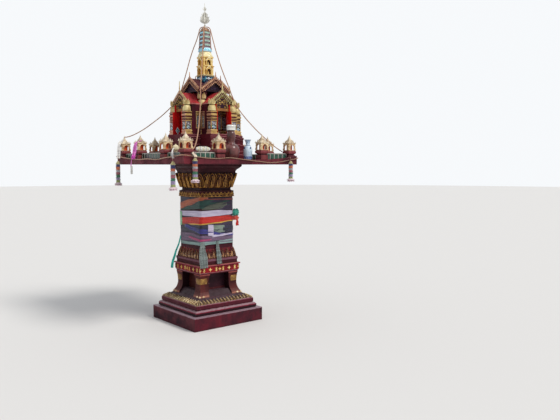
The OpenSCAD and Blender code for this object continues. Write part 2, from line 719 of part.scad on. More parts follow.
module gable_boards() color([0.8, 0.6, 0.4]) four_sides() {
    translate([0, -lower_out, z_eave]) rotate([90, 0, 0]) linear_extrude(board_t, center = true)
        gable_outline(lower_half, lower_rise, lower_horn, lower_half - 18, lower_half + 4);
    translate([0, -upper_out, z_upper]) rotate([90, 0, 0]) linear_extrude(board_t, center = true)
        gable_outline(upper_half, upper_rise, upper_horn, upper_half, upper_out - board_t);
}

// Two crossing roofs, each cut off where it would run under the other, with a square hole
// at the crossing for the foot of the spire
module upper_roof() color([0.7, 0.12, 0.12]) {
    long = 2 * (upper_out - board_t / 2 - seat);
    difference() {
        for (k = [0, 1]) difference() {
            rotate(90 * k) translate([0, 0, z_upper + seat]) rotate([90, 0, 0])
                linear_extrude(long, center = true) chevron(upper_half, upper_rise, roof_t);
            rotate(90 - 90 * k) translate([0, 0, z_upper + seat]) rotate([90, 0, 0])
                linear_extrude(long + 2, center = true) polygon([[-upper_half, -1],
                    [-upper_half, 0], [0, upper_rise], [upper_half, 0], [upper_half, -1]]);
        }
        square_block(drum_w - 12 + 2 * seat, z_upper - 1, z_ridge + 20);
    }
}

// Mirrored block that carries the spire over the crossing of the roofs
module spire_drum() color([0.25, 0.45, 0.5]) square_turning([
    [0, z_upper], [drum_w / 2 - 6, z_upper], [drum_w / 2 - 6, z_ridge + 2],
    [drum_w / 2, z_ridge + 6], [drum_w / 2, z_drum - 12],
    [drum_w / 2 + 5, z_drum - 8], [drum_w / 2 + 5, z_drum], [0, z_drum]]);

// One tier: corner piers round a set-back core, a gabled niche on each face and a flared ledge
module niche_tier(w, z, h) {
    core = w / 2 - 5;
    pier = 16;
    deck = z + h * 0.82;
    square_turning([[0, z], [w / 2 + 2, z], [w / 2 + 2, z + 4], [core, z + 6], [core, deck],
        [w / 2 + 6, z + h - 5], [w / 2 + 6, z + h], [0, z + h]]);
    four_sides() translate([w / 2 - pier, w / 2 - pier, z]) cube([pier, pier, deck - z + 3]);
    four_sides() translate([0, -core, z]) rotate([90, 0, 0]) linear_extrude(15) difference() {
        polygon([[-27, 0], [27, 0], [27, h * 0.58], [31, h * 0.58], [0, h * 1.05], [-31, h * 0.58], [-27, h * 0.58]]);
        translate([0, 5]) arch_outline(39, h * 0.6);
    }
}

module spire_tiers() color([0.85, 0.68, 0.32]) {
    niche_tier(niche_w, z_drum, niche_h);
    niche_tier(niche_w - 8, z_niche2, niche2_h);
    square_turning(concat([[0, z_dome], [niche_w / 2 + 2, z_dome], [niche_w / 2 + 2, z_dome + 3]],
        arc(niche_w / 2 + 4, z_dome + dome_h, dome_h - 5, -100, -146, 5),
        [[16, z_stack], [0, z_stack]]));
}

// Stack of mirrored tiers: a flared hem, and blocks with projecting lips above it
module spire_stack() color([0.7, 0.88, 0.9]) {
    low = stack_w - 16;
    square_turning([[0, z_stack], [stack_w / 2, z_stack], [stack_w / 2 - 1, z_stack + 5],
        [stack_w / 2 - 6, z_stack + tier_step * 0.8], [stack_w / 2 - 10, z_stack + tier_step],
        [0, z_stack + tier_step]]);
    for (i = [1:stack_n - 1]) {
        w = low + (stack_top_w - low) * (i - 1) / (stack_n - 2);
        translate([0, 0, z_stack + tier_step * i]) square_turning([[0, 0], [w / 2 - 5, 0],
            [w / 2 - 5, tier_step * 0.25], [w / 2, tier_step * 0.4], [w / 2, tier_step * 0.85],
            [w / 2 - 5, tier_step], [0, tier_step]]);
    }
}

// Square arched cap with rounded corners, thin neck and a bulb of flame-edged leaves that a
// rod carries on to its tip
module finial() color([0.85, 0.85, 0.8]) translate([0, 0, z_cap]) {
    cap = stack_top_w / 2 + 1;
    tip = finial_h - 26;
    intersection() {
        square_turning([[0, 0], [cap, 0], [cap, 6], [cap - 3, 16], [cap - 9, 25],
            [cap - 18, 32], [8, 35], [0, 35]]);
        cylinder(r = cap + 6, h = 40);
    }
    translate([0, 0, 30]) rotate_extrude() polygon([[0, 0], [6.5, 0], [6.5, 51], [15, 65], [18, 81],
        [13, 113], [6.5, 135], [6.5, 145], [4.5, 152], [6, 161], [4.5, 173], [4.5, 188], [3, 193],
        [2.5, tip - 30], [4, tip - 24], [0, finial_h - 30]]);
    for (k = [0:3]) rotate([90, 0, 45 * k]) translate([0, 35]) linear_extrude(4, center = true)
        for (s = [0, 1]) mirror([s, 0]) {
            polygon([[0, 34], [20, 39], [37, 51], [48, 71], [37, 68], [35, 82], [39, 98], [28, 93],
                [23, 108], [29, 121], [19, 118], [14, 128], [9, 117], [4, 129], [0, 129]]);
            if (k % 2 == 0)
                polygon([[0, 148], [13, 151], [25, 165], [12, 161], [7, 176], [3, 183], [0, 183]]);
        }
}

// Routes of the four stays: distance out along the diagonal, height, and drift to one side
stay_slack = [[12, 2615, 0], [27, 2613, 0], [40, 2606, 0], [47.5, 2594, 0], [51.5, 2580, 0],
    [56, 2562, 0], [72, 2500, 0], [99, 2400, 0], [134, 2290, 0], [168, 2195, 0], [204, 2105, 0],
    [225, 2052, 0], [233, 2028, 0], [275, 1932, 0], [340, 1836, 0], [440, 1724, 0],
    [540, 1628, 0], [620, 1560, 0], [662, 1530, 0], [688, 1513, 0]];
stay_high = [[12, 2615, 0], [27, 2613, 0], [40, 2606, 0], [47.5, 2594, 0], [51.5, 2580, 0],
    [56, 2562, 0], [76, 2500, 0], [110, 2416, 0], [138, 2334, 0], [174, 2210, 0], [214, 2080, 0],
    [227, 2050, 0], [256, 1990, 0], [316, 1915, 0], [396, 1842, 0], [476, 1782, 0],
    [560, 1724, 0], [640, 1680, 0], [706, 1654, 0], [750, 1647.4, 0]];
stay_drift = [[12, 2615, 0], [27, 2613, 0], [40, 2606, 0], [47.5, 2594, 0], [51.5, 2580, 0],
    [56, 2562, 0], [72, 2500, 0], [99, 2400, 0], [136, 2290, 2], [172, 2195, 4], [210, 2105, 6],
    [234, 2050, 8], [246, 2020, 10], [279, 1932, 16], [342, 1836, 24], [440, 1724, 36],
    [540, 1628, 46], [640, 1552, 50], [692, 1523, 45], [724, 1513, 37]];
module stay(route, angle) rotate(angle) tube([for (p = route) [p[0], p[2], p[1]]], rope_d, 8);

module stay_front() color([0.72, 0.58, 0.45]) stay(stay_drift, -135);
module stay_right() color([0.72, 0.58, 0.45]) stay(stay_slack, -45);
module stay_back() color([0.72, 0.58, 0.45]) stay(stay_slack, 45);
module stay_left() color([0.72, 0.58, 0.45]) stay(stay_high, 135);

plinth_block();
plinth_steps();
base_leaves();
waist_core();
lion_legs();
cornice_band();
crown_core();
crown_leaves();
shaft();
sashes();
zigzag_band();
capital_core();
lotus_petals();
tray_floor();
tray_rim();
rim_rope();
lantern_posts();
lantern_pavilions();
lantern_roofs();
balustrade_frames();
glazed_squares();
garlands();
gourd_bottle();
blue_vase();
cream_jar();
laid_garland();
chapel_base();
porch_walls();
porch_columns();
column_capitals();
body_pillars();
porch_beams();
tympana();
upper_body();
lower_roofs();
gable_boards();
upper_roof();
spire_drum();
spire_tiers();
spire_stack();
finial();
stay_front();
stay_right();
stay_back();
stay_left();
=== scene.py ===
import bpy
import bmesh
import math
import random
from mathutils import Matrix, Vector, noise


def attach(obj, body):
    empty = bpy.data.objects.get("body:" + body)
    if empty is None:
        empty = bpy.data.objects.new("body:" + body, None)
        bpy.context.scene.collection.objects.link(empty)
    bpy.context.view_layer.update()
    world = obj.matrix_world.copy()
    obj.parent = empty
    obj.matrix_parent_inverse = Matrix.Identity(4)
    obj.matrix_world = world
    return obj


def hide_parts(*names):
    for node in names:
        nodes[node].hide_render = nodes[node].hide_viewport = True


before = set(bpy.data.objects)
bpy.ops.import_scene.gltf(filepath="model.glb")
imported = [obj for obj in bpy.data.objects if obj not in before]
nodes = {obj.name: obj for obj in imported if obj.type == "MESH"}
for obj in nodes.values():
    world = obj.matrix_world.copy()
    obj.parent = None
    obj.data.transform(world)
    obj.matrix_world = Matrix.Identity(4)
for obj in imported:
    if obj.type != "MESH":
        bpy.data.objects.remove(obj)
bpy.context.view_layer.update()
scene = bpy.context.scene
scene.view_settings.view_transform = "Standard"

# Camera. A visitor looks at the shrine from its left front corner, with the eye just under the tray.
# The lens covers the whole shrine, from the paving to the tip of the finial. Its focal length and the
# picture's width are in pixels of the picture.
focal_length, picture_width = 619, 560
look_down, look_round = 4.09, -39.8
lens = bpy.data.cameras.new("visitor_eye")
lens.sensor_width = 36
lens.lens = 36 * focal_length / picture_width
eye = bpy.data.objects.new("visitor_eye", lens)
eye.location = (-3.0622, -4.7142, 1.39)
eye.rotation_euler = (math.radians(90 - look_down), 0, math.radians(look_round))
scene.collection.objects.link(eye)
scene.camera = eye

# Stays. Four ropes of about 10 mm, laid from three tan strands, are tied round the neck of the
# finial and run down in slack curves over the corners of the chapel to the corners of the tray.
# Each is a tube with three lobes that turn along it, from the cap to the lantern that it rests on.
def tone(code):
    """Linear colour of a six-digit hex code."""
    parts = [int(code[i:i + 2], 16) / 255 for i in (0, 2, 4)]
    return (*[p / 12.92 if p < 0.0405 else ((p + 0.055) / 1.055) ** 2.4 for p in parts], 1)


def shade(tree, kind, sockets=None, **settings):
    """Adds a shader node. A socket's value is a number, a vector, a hex code or another node's output."""
    item = tree.nodes.new("ShaderNode" + kind)
    for key, value in settings.items():
        setattr(item, key, value)
    for key, value in (sockets or {}).items():
        if isinstance(value, bpy.types.NodeSocket):
            tree.links.new(value, item.inputs[key])
        else:
            item.inputs[key].default_value = tone(value) if isinstance(value, str) else value
    return item


def stretched(tree, value, low=0.0, high=1.0, start=0.0, end=1.0):
    """Runs from start to end where the value runs from low to high."""
    return shade(tree, "MapRange", {"Value": value, "From Min": low, "From Max": high, "To Min": start,
        "To Max": end}).outputs[0]


def combined(tree, operation, first, second):
    return shade(tree, "Math", {0: first, 1: second}, operation=operation).outputs[0]


def blend_of(tree, share, first, second):
    """Mixes two colours by a share."""
    return shade(tree, "Mix", {0: share, 6: first, 7: second}, data_type="RGBA").outputs[2]


def cloud(tree, place, scale, detail=3.0, low=0.35, high=0.65, rough=0.6):
    """Noise at a place, stretched to run from 0 to 1 between its low and high values."""
    field = shade(tree, "TexNoise", {"Vector": place, "Scale": scale, "Detail": detail, "Roughness": rough})
    return stretched(tree, field.outputs["Fac"], low, high)


def new_finish(name, **sockets):
    """A material, its node tree and the place on the piece, for the patterns."""
    finish = bpy.data.materials.new(name)
    finish.use_nodes = True
    tree = finish.node_tree
    for key, value in sockets.items():
        tree.nodes["Principled BSDF"].inputs[key.replace("_", " ")].default_value = value
    return finish, tree, shade(tree, "TexCoord").outputs["Object"]


def dress(tree, colour, height=None, strength=0.0, distance=0.0, rough=None):
    """Links the shader's colour, a bump from a height, and its roughness."""
    sockets = tree.nodes["Principled BSDF"].inputs
    tree.links.new(colour, sockets["Base Color"])
    if height:
        bump = shade(tree, "Bump", {"Strength": strength, "Distance": distance, "Height": height})
        tree.links.new(bump.outputs["Normal"], sockets["Normal"])
    if rough:
        tree.links.new(rough, sockets["Roughness"])


def smooth_line(knots, step, closed=False):
    """Points about a step apart on a smooth curve through the knots."""
    knots = [Vector(k) for k in knots]
    count = len(knots)
    line = []
    for i in range(count if closed else count - 1):
        a, b, c, d = (knots[j % count] if closed else knots[min(max(j, 0), count - 1)]
            for j in (i - 1, i, i + 1, i + 2))
        parts = max(1, round((c - b).length / step))
        for k in range(parts):
            t = k / parts
            line.append((2 * b + (c - a) * t + (2 * a - 5 * b + 4 * c - d) * t * t
                + (3 * b - a - 3 * c + d) * t ** 3) / 2)
    return line if closed else line + [knots[-1]]


def line_length(line):
    return sum((b - a).length for a, b in zip(line, line[1:]))


def put_in_scene(name, form, finishes, stands_for=(), angle=40):
    """Makes a bmesh or a mesh a piece of the shrine, smooth where its faces meet gently."""
    mesh = form
    if isinstance(form, bmesh.types.BMesh):
        mesh = bpy.data.meshes.new(name)
        form.to_mesh(mesh)
        form.free()
    for finish in finishes:
        mesh.materials.append(finish)
    mesh.shade_smooth()
    mesh.set_sharp_from_angle(angle=math.radians(angle))
    piece = bpy.data.objects.new(name, mesh)
    scene.collection.objects.link(piece)
    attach(piece, "root")
    if stands_for:
        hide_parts(*stands_for)
    return piece


def laid_rope(line, thick, lay, closed=False):
    """Mesh of a three-strand rope along a line of close points, with a strand attribute."""
    section = bpy.data.curves.new("strand section", "CURVE")
    section.dimensions = "2D"
    outline = section.splines.new("POLY")
    outline.points.add(11)
    outline.use_cyclic_u = True
    for i, point in enumerate(outline.points):
        angle = math.tau * i / 12
        reach = thick / 2 * (0.85 + 0.15 * math.cos(3 * angle))
        point.co = (reach * math.cos(angle), reach * math.sin(angle), 0, 1)
    shape = bpy.data.objects.new("strand section", section)
    scene.collection.objects.link(shape)
    run = bpy.data.curves.new("rope run", "CURVE")
    run.dimensions = "3D"
    run.bevel_mode = "OBJECT"
    run.bevel_object = shape
    run.use_fill_caps = not closed
    spline = run.splines.new("POLY")
    spline.points.add(len(line) - 1)
    spline.use_cyclic_u = closed
    whole = line_length(line + line[:1] if closed else line)
    turns = round(whole / lay)
    gone = 0.0
    for i, (point, place) in enumerate(zip(spline.points, line)):
        gone += (place - line[i - 1]).length if i else 0
        point.co = (*place, 1)
        point.tilt = math.tau * turns * gone / whole
    rope = bpy.data.objects.new("rope run", run)
    scene.collection.objects.link(rope)
    deps = bpy.context.evaluated_depsgraph_get()
    mesh = bpy.data.meshes.new_from_object(rope.evaluated_get(deps), depsgraph=deps)
    bpy.data.objects.remove(rope)
    bpy.data.objects.remove(shape)
    strand = mesh.attributes.new("strand", "FLOAT", "POINT")
    for i, vertex in enumerate(mesh.vertices):
        reach = (vertex.co - line[min(i // 12, len(line) - 1)]).length
        strand.data[i].value = min(max((reach / (thick / 2) - 0.7) / 0.3, 0), 1)
    return mesh


# The grooves between the strands are painted darker: painted shade.
rope_tan, tree, place = new_finish("tan rope fibre", Roughness=0.85, Sheen_Weight=0.3)
strand = shade(tree, "Attribute", attribute_name="strand").outputs["Fac"]
worn = blend_of(tree, cloud(tree, place, 9, 4), "b98a6b", "d9b48c")
worn = blend_of(tree, cloud(tree, place, 260, 3, 0.3, 0.7), worn, "a8745c")
dress(tree, blend_of(tree, strand, "6d4434", worn), cloud(tree, place, 900, 2), 0.5, 0.0006)

over_cap = [(12, 2615, 0), (27, 2613, 0), (40, 2606, 0), (47.5, 2594, 0), (51.5, 2580, 0), (56, 2562, 0)]
slack_route = over_cap + [(72, 2500, 0), (99, 2400, 0), (134, 2290, 0), (168, 2195, 0), (204, 2105, 0),
    (225, 2052, 0), (233, 2028, 0), (275, 1932, 0), (340, 1836, 0), (440, 1724, 0), (540, 1628, 0),
    (620, 1560, 0), (662, 1530, 0), (688, 1513, 0)]
high_route = over_cap + [(76, 2500, 0), (110, 2416, 0), (138, 2334, 0), (174, 2210, 0), (214, 2080, 0),
    (227, 2050, 0), (256, 1990, 0), (316, 1915, 0), (396, 1842, 0), (476, 1782, 0), (560, 1724, 0),
    (640, 1680, 0), (706, 1654, 0), (750, 1647.4, 0)]
drift_route = over_cap + [(72, 2500, 0), (99, 2400, 0), (136, 2290, 2), (172, 2195, 4), (210, 2105, 6),
    (234, 2050, 8), (246, 2020, 10), (279, 1932, 16), (342, 1836, 24), (440, 1724, 36), (540, 1628, 46),
    (640, 1552, 50), (692, 1523, 45), (724, 1513, 37)]
rope_thick = 0.010
for side, route, turn in (("front", drift_route, -135), ("right", slack_route, -45), ("back", slack_route, 45),
        ("left", high_route, 135)):
    knots = [Matrix.Rotation(math.radians(turn), 3, "Z") @ Vector((out, drift, height)) / 1000
        for out, height, drift in route]
    line = smooth_line(knots, 0.006)
    stay = put_in_scene("stay_rope_" + side, laid_rope(line, rope_thick, 0.042), [rope_tan],
        ["stay_" + side])

# Plinth. Two steps and a pair of slopes cast in concrete and brushed with maroon gloss paint. The
# arrises have worn to a pale pink that is also a painted highlight, rain has streaked the risers dark,
# the flats are pale with dust and painted sheen, and the recessed risers and the upper slope carry
# painted shade.
def height_band(tree, height, low, high, soft):
    """1 between two heights and 0 elsewhere."""
    return combined(tree, "MULTIPLY", stretched(tree, height, low - soft, low + soft),
        stretched(tree, height, high - soft, high + soft, 1.0, 0.0))


def facing(tree, axis):
    """How far a face looks along an axis, from -1 to 1."""
    return shade(tree, "SeparateXYZ", {0: shade(tree, "NewGeometry").outputs["Normal"]}).outputs[axis]


def painted_cast(name, paint, faded, chip="2c1014", pale_dust_and_sheen="a98d8c", bands=(), chipped=0.66, dust_and_sheen=0.75,
        roughness=(0.4, 0.7)):
    """Brushed paint on cast concrete: clouded, chipped, pale on top with dust and painted sheen, with bands of other
    colour by height; some bands are painted highlight or shade.
    """
    finish, tree, place = new_finish(name, Specular_IOR_Level=0.16)
    height = shade(tree, "SeparateXYZ", {0: place}).outputs["Z"]
    wander = cloud(tree, place, 38, 3, 0.3, 0.7)
    ragged = combined(tree, "ADD", height, stretched(tree, wander, start=-0.0022, end=0.0022))
    fog = cloud(tree, place, 6, 6, 0.38, 0.62)
    colour = blend_of(tree, fog, paint, faded)
    for low, high, soft, code in bands:
        colour = blend_of(tree, height_band(tree, ragged, low, high, soft), colour, code)
    upright = shade(tree, "Mapping", {"Vector": place, "Scale": (1.0, 1.0, 0.08)}).outputs[0]
    streaks = combined(tree, "MULTIPLY", cloud(tree, upright, 46, 4, 0.5, 0.75), 0.45)
    colour = blend_of(tree, streaks, colour, chip)
    chips = cloud(tree, place, 62, 8, chipped, chipped + 0.03, 0.75)
    colour = blend_of(tree, chips, colour, pale_dust_and_sheen)
    # Upward faces turn to the pale tone: partly dust, partly a painted sheen on the gloss paint.
    flat = stretched(tree, facing(tree, "Z"), 0.45, 0.95, end=dust_and_sheen)
    patchy_dust_and_sheen = combined(tree, "MULTIPLY", flat, cloud(tree, place, 26, 5, 0.2, 0.6))
    relief = combined(tree, "SUBTRACT", cloud(tree, place, 210, 5, 0.3, 0.7), chips)
    dress(tree, blend_of(tree, patchy_dust_and_sheen, colour, pale_dust_and_sheen), relief, 0.28, 0.0015,
        stretched(tree, fog, start=roughness[0], end=roughness[1]))
    return finish


def coat(finish, *names):
    """Gives CAD nodes their real finish."""
    for name in names:
        for holder in nodes[name].material_slots:
            holder.material = finish


# The plinth is darker at its foot; its pale top band is wear and a painted highlight.
plinth_paint = painted_cast("plinth maroon", "5e1725", "28111c", pale_dust_and_sheen="8e7f8a",
    bands=[(-0.01, 0.006, 0.004, "3a1018"), (0.1085, 0.2, 0.0016, "93747e")])
coat(plinth_paint, "plinth_block")
# The dark bands on the recessed risers and on the upper slope are painted shade; the pale lines on the step tops are
# wear and painted sheen.
step_paint = painted_cast("step maroon", "4a111d", "2a0c16", pale_dust_and_sheen="8a7782", dust_and_sheen=0.28,
    bands=[(0.118, 0.139, 0.003, "260a13"), (0.1400, 0.1478, 0.001, "7a2034"),
    (0.1484, 0.1600, 0.001, "917078"), (0.166, 0.190, 0.004, "4a1220"), (0.1930, 0.1975, 0.001, "722036"),
    (0.1985, 0.2032, 0.0008, "86646a"), (0.206, 0.242, 0.003, "260a10"), (0.2455, 0.292, 0.002, "250b12")])
coat(step_paint, "plinth_steps")

# Leaves on the lower slope. Fifteen pointed leaves a side are cast on the slope and brushed with
# cream gold, with a maroon field and a gold midrib in each. One more stands over each corner.
def gilded(name, bright, dull, under, metal=0.35, worn=0.6, roughness=(0.3, 0.6), relief=0.35):
    """Gold paint rubbed through to the paint below it."""
    finish, tree, place = new_finish(name, Metallic=metal)
    fog = cloud(tree, place, 22, 5, 0.36, 0.64)
    rubbed = cloud(tree, place, 130, 6, worn, worn + 0.06, 0.7)
    dress(tree, blend_of(tree, rubbed, blend_of(tree, fog, bright, dull), under),
        cloud(tree, place, 420, 4, 0.3, 0.7), relief, 0.001,
        stretched(tree, fog, start=roughness[0], end=roughness[1]))
    return finish


def in_finish(form, finish):
    """Gives all faces of a form one of the piece's finishes, by its number."""
    for face in form.faces:
        face.material_index = finish
    return form


def plate(outline, base, top, rim=0.0, finish=0, field=None, sink=0.0):
    """A flat motif, x across and y up, from depth base to top, with a bevelled rim and a sunk field."""
    form = bmesh.new()
    face = form.faces.new([form.verts.new((x, y, base)) for x, y in outline])
    face.normal_update()
    if face.normal.z < 0:
        bmesh.ops.reverse_faces(form, faces=[face])
    raised = bmesh.ops.extrude_face_region(form, geom=[face])["geom"]
    bmesh.ops.translate(form, vec=(0, 0, top - base),
        verts=[v for v in raised if isinstance(v, bmesh.types.BMVert)])
    lid = [f for f in raised if isinstance(f, bmesh.types.BMFace)]
    if rim:
        bmesh.ops.inset_region(form, faces=lid, thickness=rim, depth=-sink)
    in_finish(form, finish)
    if field is not None:
        for f in lid:
            f.material_index = field
    if face.is_valid:
        bmesh.ops.reverse_faces(form, faces=[face])
    bmesh.ops.triangulate(form, faces=[f for f in form.faces if len(f.verts) > 4])
    bmesh.ops.recalc_face_normals(form, faces=form.faces)
    return form


def gather(*forms):
    """Puts several forms in one bmesh and frees them."""
    whole = bmesh.new()
    for form in forms:
        part = bpy.data.meshes.new("part")
        form.to_mesh(part)
        form.free()
        whole.from_mesh(part)
        bpy.data.meshes.remove(part)
    return whole


def repeat(pattern, places):
    """Copies of a pattern at all places, in one bmesh. The pattern is used up."""
    part = bpy.data.meshes.new("part")
    pattern.to_mesh(part)
    pattern.free()
    whole = bmesh.new()
    for place in places:
        before = len(whole.verts)
        whole.from_mesh(part)
        whole.verts.ensure_lookup_table()
        bmesh.ops.transform(whole, matrix=place, verts=whole.verts[before:])
    bpy.data.meshes.remove(part)
    return whole


def turn_by(angle, axis="Z"):
    return Matrix.Rotation(math.radians(angle), 4, axis)


def shift(x, y, z):
    return Matrix.Translation((x, y, z))


quarter_turns = [turn_by(90 * k) for k in range(4)]
root_two = math.sqrt(2)


def on_side(x, out, height, lean=0.0, spin=0.0):
    """Place of a motif on the front: x along it, out from the axis, leaning back by an angle."""
    return shift(x, -out, height) @ turn_by(90 + lean, "X") @ turn_by(spin)


def all_sides(places):
    return [turn @ place for turn in quarter_turns for place in places]


def on_faces(form, out, height, lean=0.0):
    """A form on the middle of each of the four sides."""
    return repeat(form, all_sides([on_side(0, out, height, lean)]))


def in_row(count, span, out, height, lean, gaps=False):
    """Places of a row of motifs on every side, or of those in the gaps of such a row."""
    spots = range(1, count) if gaps else [i + 0.5 for i in range(count)]
    return all_sides([on_side(span * (i / count - 0.5), out, height, lean) for i in spots])


def all_corners(out, height, lean):
    """Places of a motif on the edges of the four corners."""
    return [turn_by(45 + 90 * k) @ on_side(0, out, height, lean) for k in range(4)]


def slope_of(inward, up):
    """Lean in degrees and length of a slope."""
    return math.degrees(math.atan2(-inward, up)), math.hypot(inward, up)


def mm(*points):
    """Points that are given in millimetres."""
    return [tuple(value / 1000 for value in point) for point in points]


def mirrored(side):
    """Closed outline from its right half, listed from the foot to the tip on the axis."""
    return side + [(-x, y) for x, y in reversed(side) if x > 1e-6]


def leaf_side(width, height, count=7):
    """Right half of a leaf whose two edges are arcs."""
    r = (width * width / 4 + height * height) / width
    return [(width / 2 - r + math.sqrt(r * r - (height * i / count) ** 2), height * i / count)
        for i in range(count)] + [(0, height)]


slope_out, slope_low, slope_in, slope_up = 0.293, 0.203, 0.069, 0.042
slope_lean, slope_long = slope_of(slope_in, slope_up)
corner_lean, corner_long = slope_of(slope_in * root_two, slope_up)
leaf_gold = gilded("cream gold leaf paint", "efdcae", "a8844f", "3e1016", 0.25, 0.51)
field_red = painted_cast("leaf field red", "400d16", "22070c", chipped=0.75, dust_and_sheen=0.1)


def cast_leaf(width, height, depth):
    """Leaf with a gold rim, a sunk maroon field and a raised gold midrib."""
    outer = plate(mirrored(leaf_side(width, height)), 0, depth, width * 0.09, field=1, sink=depth * 0.3)
    rib = plate(mirrored([(x, y + height * 0.04) for x, y in leaf_side(width * 0.3, height * 0.78, 4)]), 0,
        depth * 1.15, width * 0.05, sink=-depth * 0.2)
    return gather(outer, rib)


leaves = repeat(cast_leaf(0.0265, slope_long * 0.66, 0.0075),
    in_row(15, 0.520, slope_out, slope_low, slope_lean))
corner = repeat(cast_leaf(0.036, corner_long * 0.72, 0.0065),
    all_corners(slope_out * root_two - 0.002, slope_low, corner_lean))
put_in_scene("base_slope_leaves", gather(leaves, corner), [leaf_gold, field_red],
    ["base_leaves"])

# Waist. Four lion legs stand at the corners of a dark core. Each is cast with a hollow shank, painted
# red brown with painted shade on the sides that face the core, with a plaque of five gold ribs wrapped
# round its corner and cream claws on the toe, whose cream is partly a painted highlight.
def x_facing_painted_light(tree):
    """1 on faces that look along x. Finishes use it for painted light: the lit or shaded tone those faces take."""
    away = shade(tree, "Math", {0: facing(tree, "X")}, operation="ABSOLUTE").outputs[0]
    return stretched(tree, away, 0.5, 0.9)


def looks_inward(tree):
    """1 on faces that look towards the axis of the shrine."""
    spot = shade(tree, "VectorMath", {0: shade(tree, "TexCoord").outputs["Object"], 1: (1, 1, 0)},
        operation="MULTIPLY").outputs[0]
    dot = shade(tree, "VectorMath", {0: spot, 1: shade(tree, "NewGeometry").outputs["Normal"]},
        operation="DOT_PRODUCT").outputs["Value"]
    return stretched(tree, dot, 0.0, -0.03)


def painted_over(finish, share, code):
    """One more colour over a finish, where the share that is made in its node tree is 1."""
    tree = finish.node_tree
    socket = tree.nodes["Principled BSDF"].inputs["Base Color"]
    tree.links.new(blend_of(tree, share(tree), socket.links[0].from_socket, code), socket)
    return finish


core_paint = painted_cast("waist core dark", "34101c", "1a0812", dust_and_sheen=0.3,
    bands=[(0.29, 0.306, 0.006, "4a1a1e")])
# The core's faces along x are painted a lit brown: painted light.
coat(painted_over(core_paint, x_facing_painted_light, "3c1612"), "waist_core")
leg_paint = painted_cast("leg red brown", "5a201c", "341014", pale_dust_and_sheen="b88c80", dust_and_sheen=0.4,
    bands=[(0.244, 0.262, 0.003, "a06a5a"), (0.434, 0.444, 0.002, "8a4440")])
# The legs' sides that face the core are painted near black: painted shade.
coat(painted_over(leg_paint, looks_inward, "22090f"), "lion_legs")

leg_edge = mm((245, 219), (250, 220), (256, 220), (265, 217), (275, 210), (290, 201), (310, 195), (334, 190.5),
    (364, 190), (395, 192), (419, 196), (433, 199.5), (443, 199))


def shank_face(height):
    """Distance of a leg's outer face from the axis at a height."""
    for (low, before), (high, after) in zip(leg_edge, leg_edge[1:]):
        if low <= height <= high:
            return before + (after - before) * (height - low) / (high - low)
    return leg_edge[-1][1]


def block(x, y, z):
    form = bmesh.new()
    bmesh.ops.create_cube(form, size=1)
    bmesh.ops.scale(form, vec=(x, y, z), verts=form.verts)
    return form


def bar(length, high, deep, soft):
    """Rounded bar along x, centred."""
    form = block(length, deep, high)
    bmesh.ops.bevel(form, geom=form.edges, offset=soft, affect="EDGES", segments=2, profile=0.5, material=-1)
    return form


def moved(form, x=0.0, y=0.0, z=0.0, spin=0.0):
    form.transform(shift(x, y, z) @ turn_by(spin))
    return form


ribs = []
for i in range(5):
    height = 0.3618 + 0.0104 * i
    out, low = shank_face(height), 0.122 + 0.003 * abs(i - 2)
    middle = (out + low) / 2
    ribs += [moved(bar(out - low + 0.003, 0.0078, 0.007, 0.0028), *spot, height, turn)
        for spot, turn in (((middle, -out), 0), ((out, -middle), 90))]
rib_gold = gilded("dull gold ribs", "c0964e", "7c5628", "4a1c16", 0.4, 0.58)
put_in_scene("leg_gold_ribs", repeat(gather(*ribs), quarter_turns), [rib_gold])

claws = []
for slant, out in ((-34, 0.2815), (0, 0.3065), (34, 0.2815)):
    claw = bmesh.new()
    bmesh.ops.create_uvsphere(claw, u_segments=12, v_segments=8, radius=0.0098)
    bmesh.ops.scale(claw, vec=(0.85, 1.3, 1.0), verts=claw.verts)
    for vertex in claw.verts:
        vertex.co.z -= max(0.0, -vertex.co.y - 0.004) ** 2 * 40
    moved(claw, math.sin(math.radians(slant)) * 0.05, -out, 0.2535, -slant * 0.8)
    claw.transform(turn_by(45))
    claws.append(claw)
# The claws' pale cream is partly a painted highlight on the toes.
claw_cream = gilded("claw cream", "efd9b4", "bf9a72", "6a2a22", 0.05, 0.6)
put_in_scene("leg_claws", repeat(gather(*claws), quarter_turns), [claw_cream])

# Cornice. A bright maroon band between two mouldings, with cast flowers gilded by brush. Each face has
# a star in its middle, two diamond flowers and four slanted crosses, and half a star at each end.
# The pale band on the top ledge is partly a painted sheen.
band_paint = painted_cast("cornice maroon", "8c1018", "5c0c18", pale_dust_and_sheen="9a7a4a", dust_and_sheen=0.8,
    bands=[(0.44, 0.4515, 0.001, "4a1420"), (0.453, 0.458, 0.001, "a8747a"), (0.5075, 0.511, 0.0008, "4a1420"),
    (0.5135, 0.524, 0.001, "9a4a55")])
coat(band_paint, "cornice_band")


def star(points, long, short, turn=0.0):
    """Outline with long and short radii in turn."""
    rays = [(short if i % 2 else long, math.pi * i / points + math.radians(turn)) for i in range(2 * points)]
    return [(reach * math.cos(angle), reach * math.sin(angle)) for reach, angle in rays]


def boss(radius, depth, flat=0.7):
    """Low round button that stands on the depth."""
    form = bmesh.new()
    bmesh.ops.create_uvsphere(form, u_segments=10, v_segments=6, radius=radius)
    bmesh.ops.scale(form, vec=(1, 1, flat), verts=form.verts)
    return moved(form, z=depth)


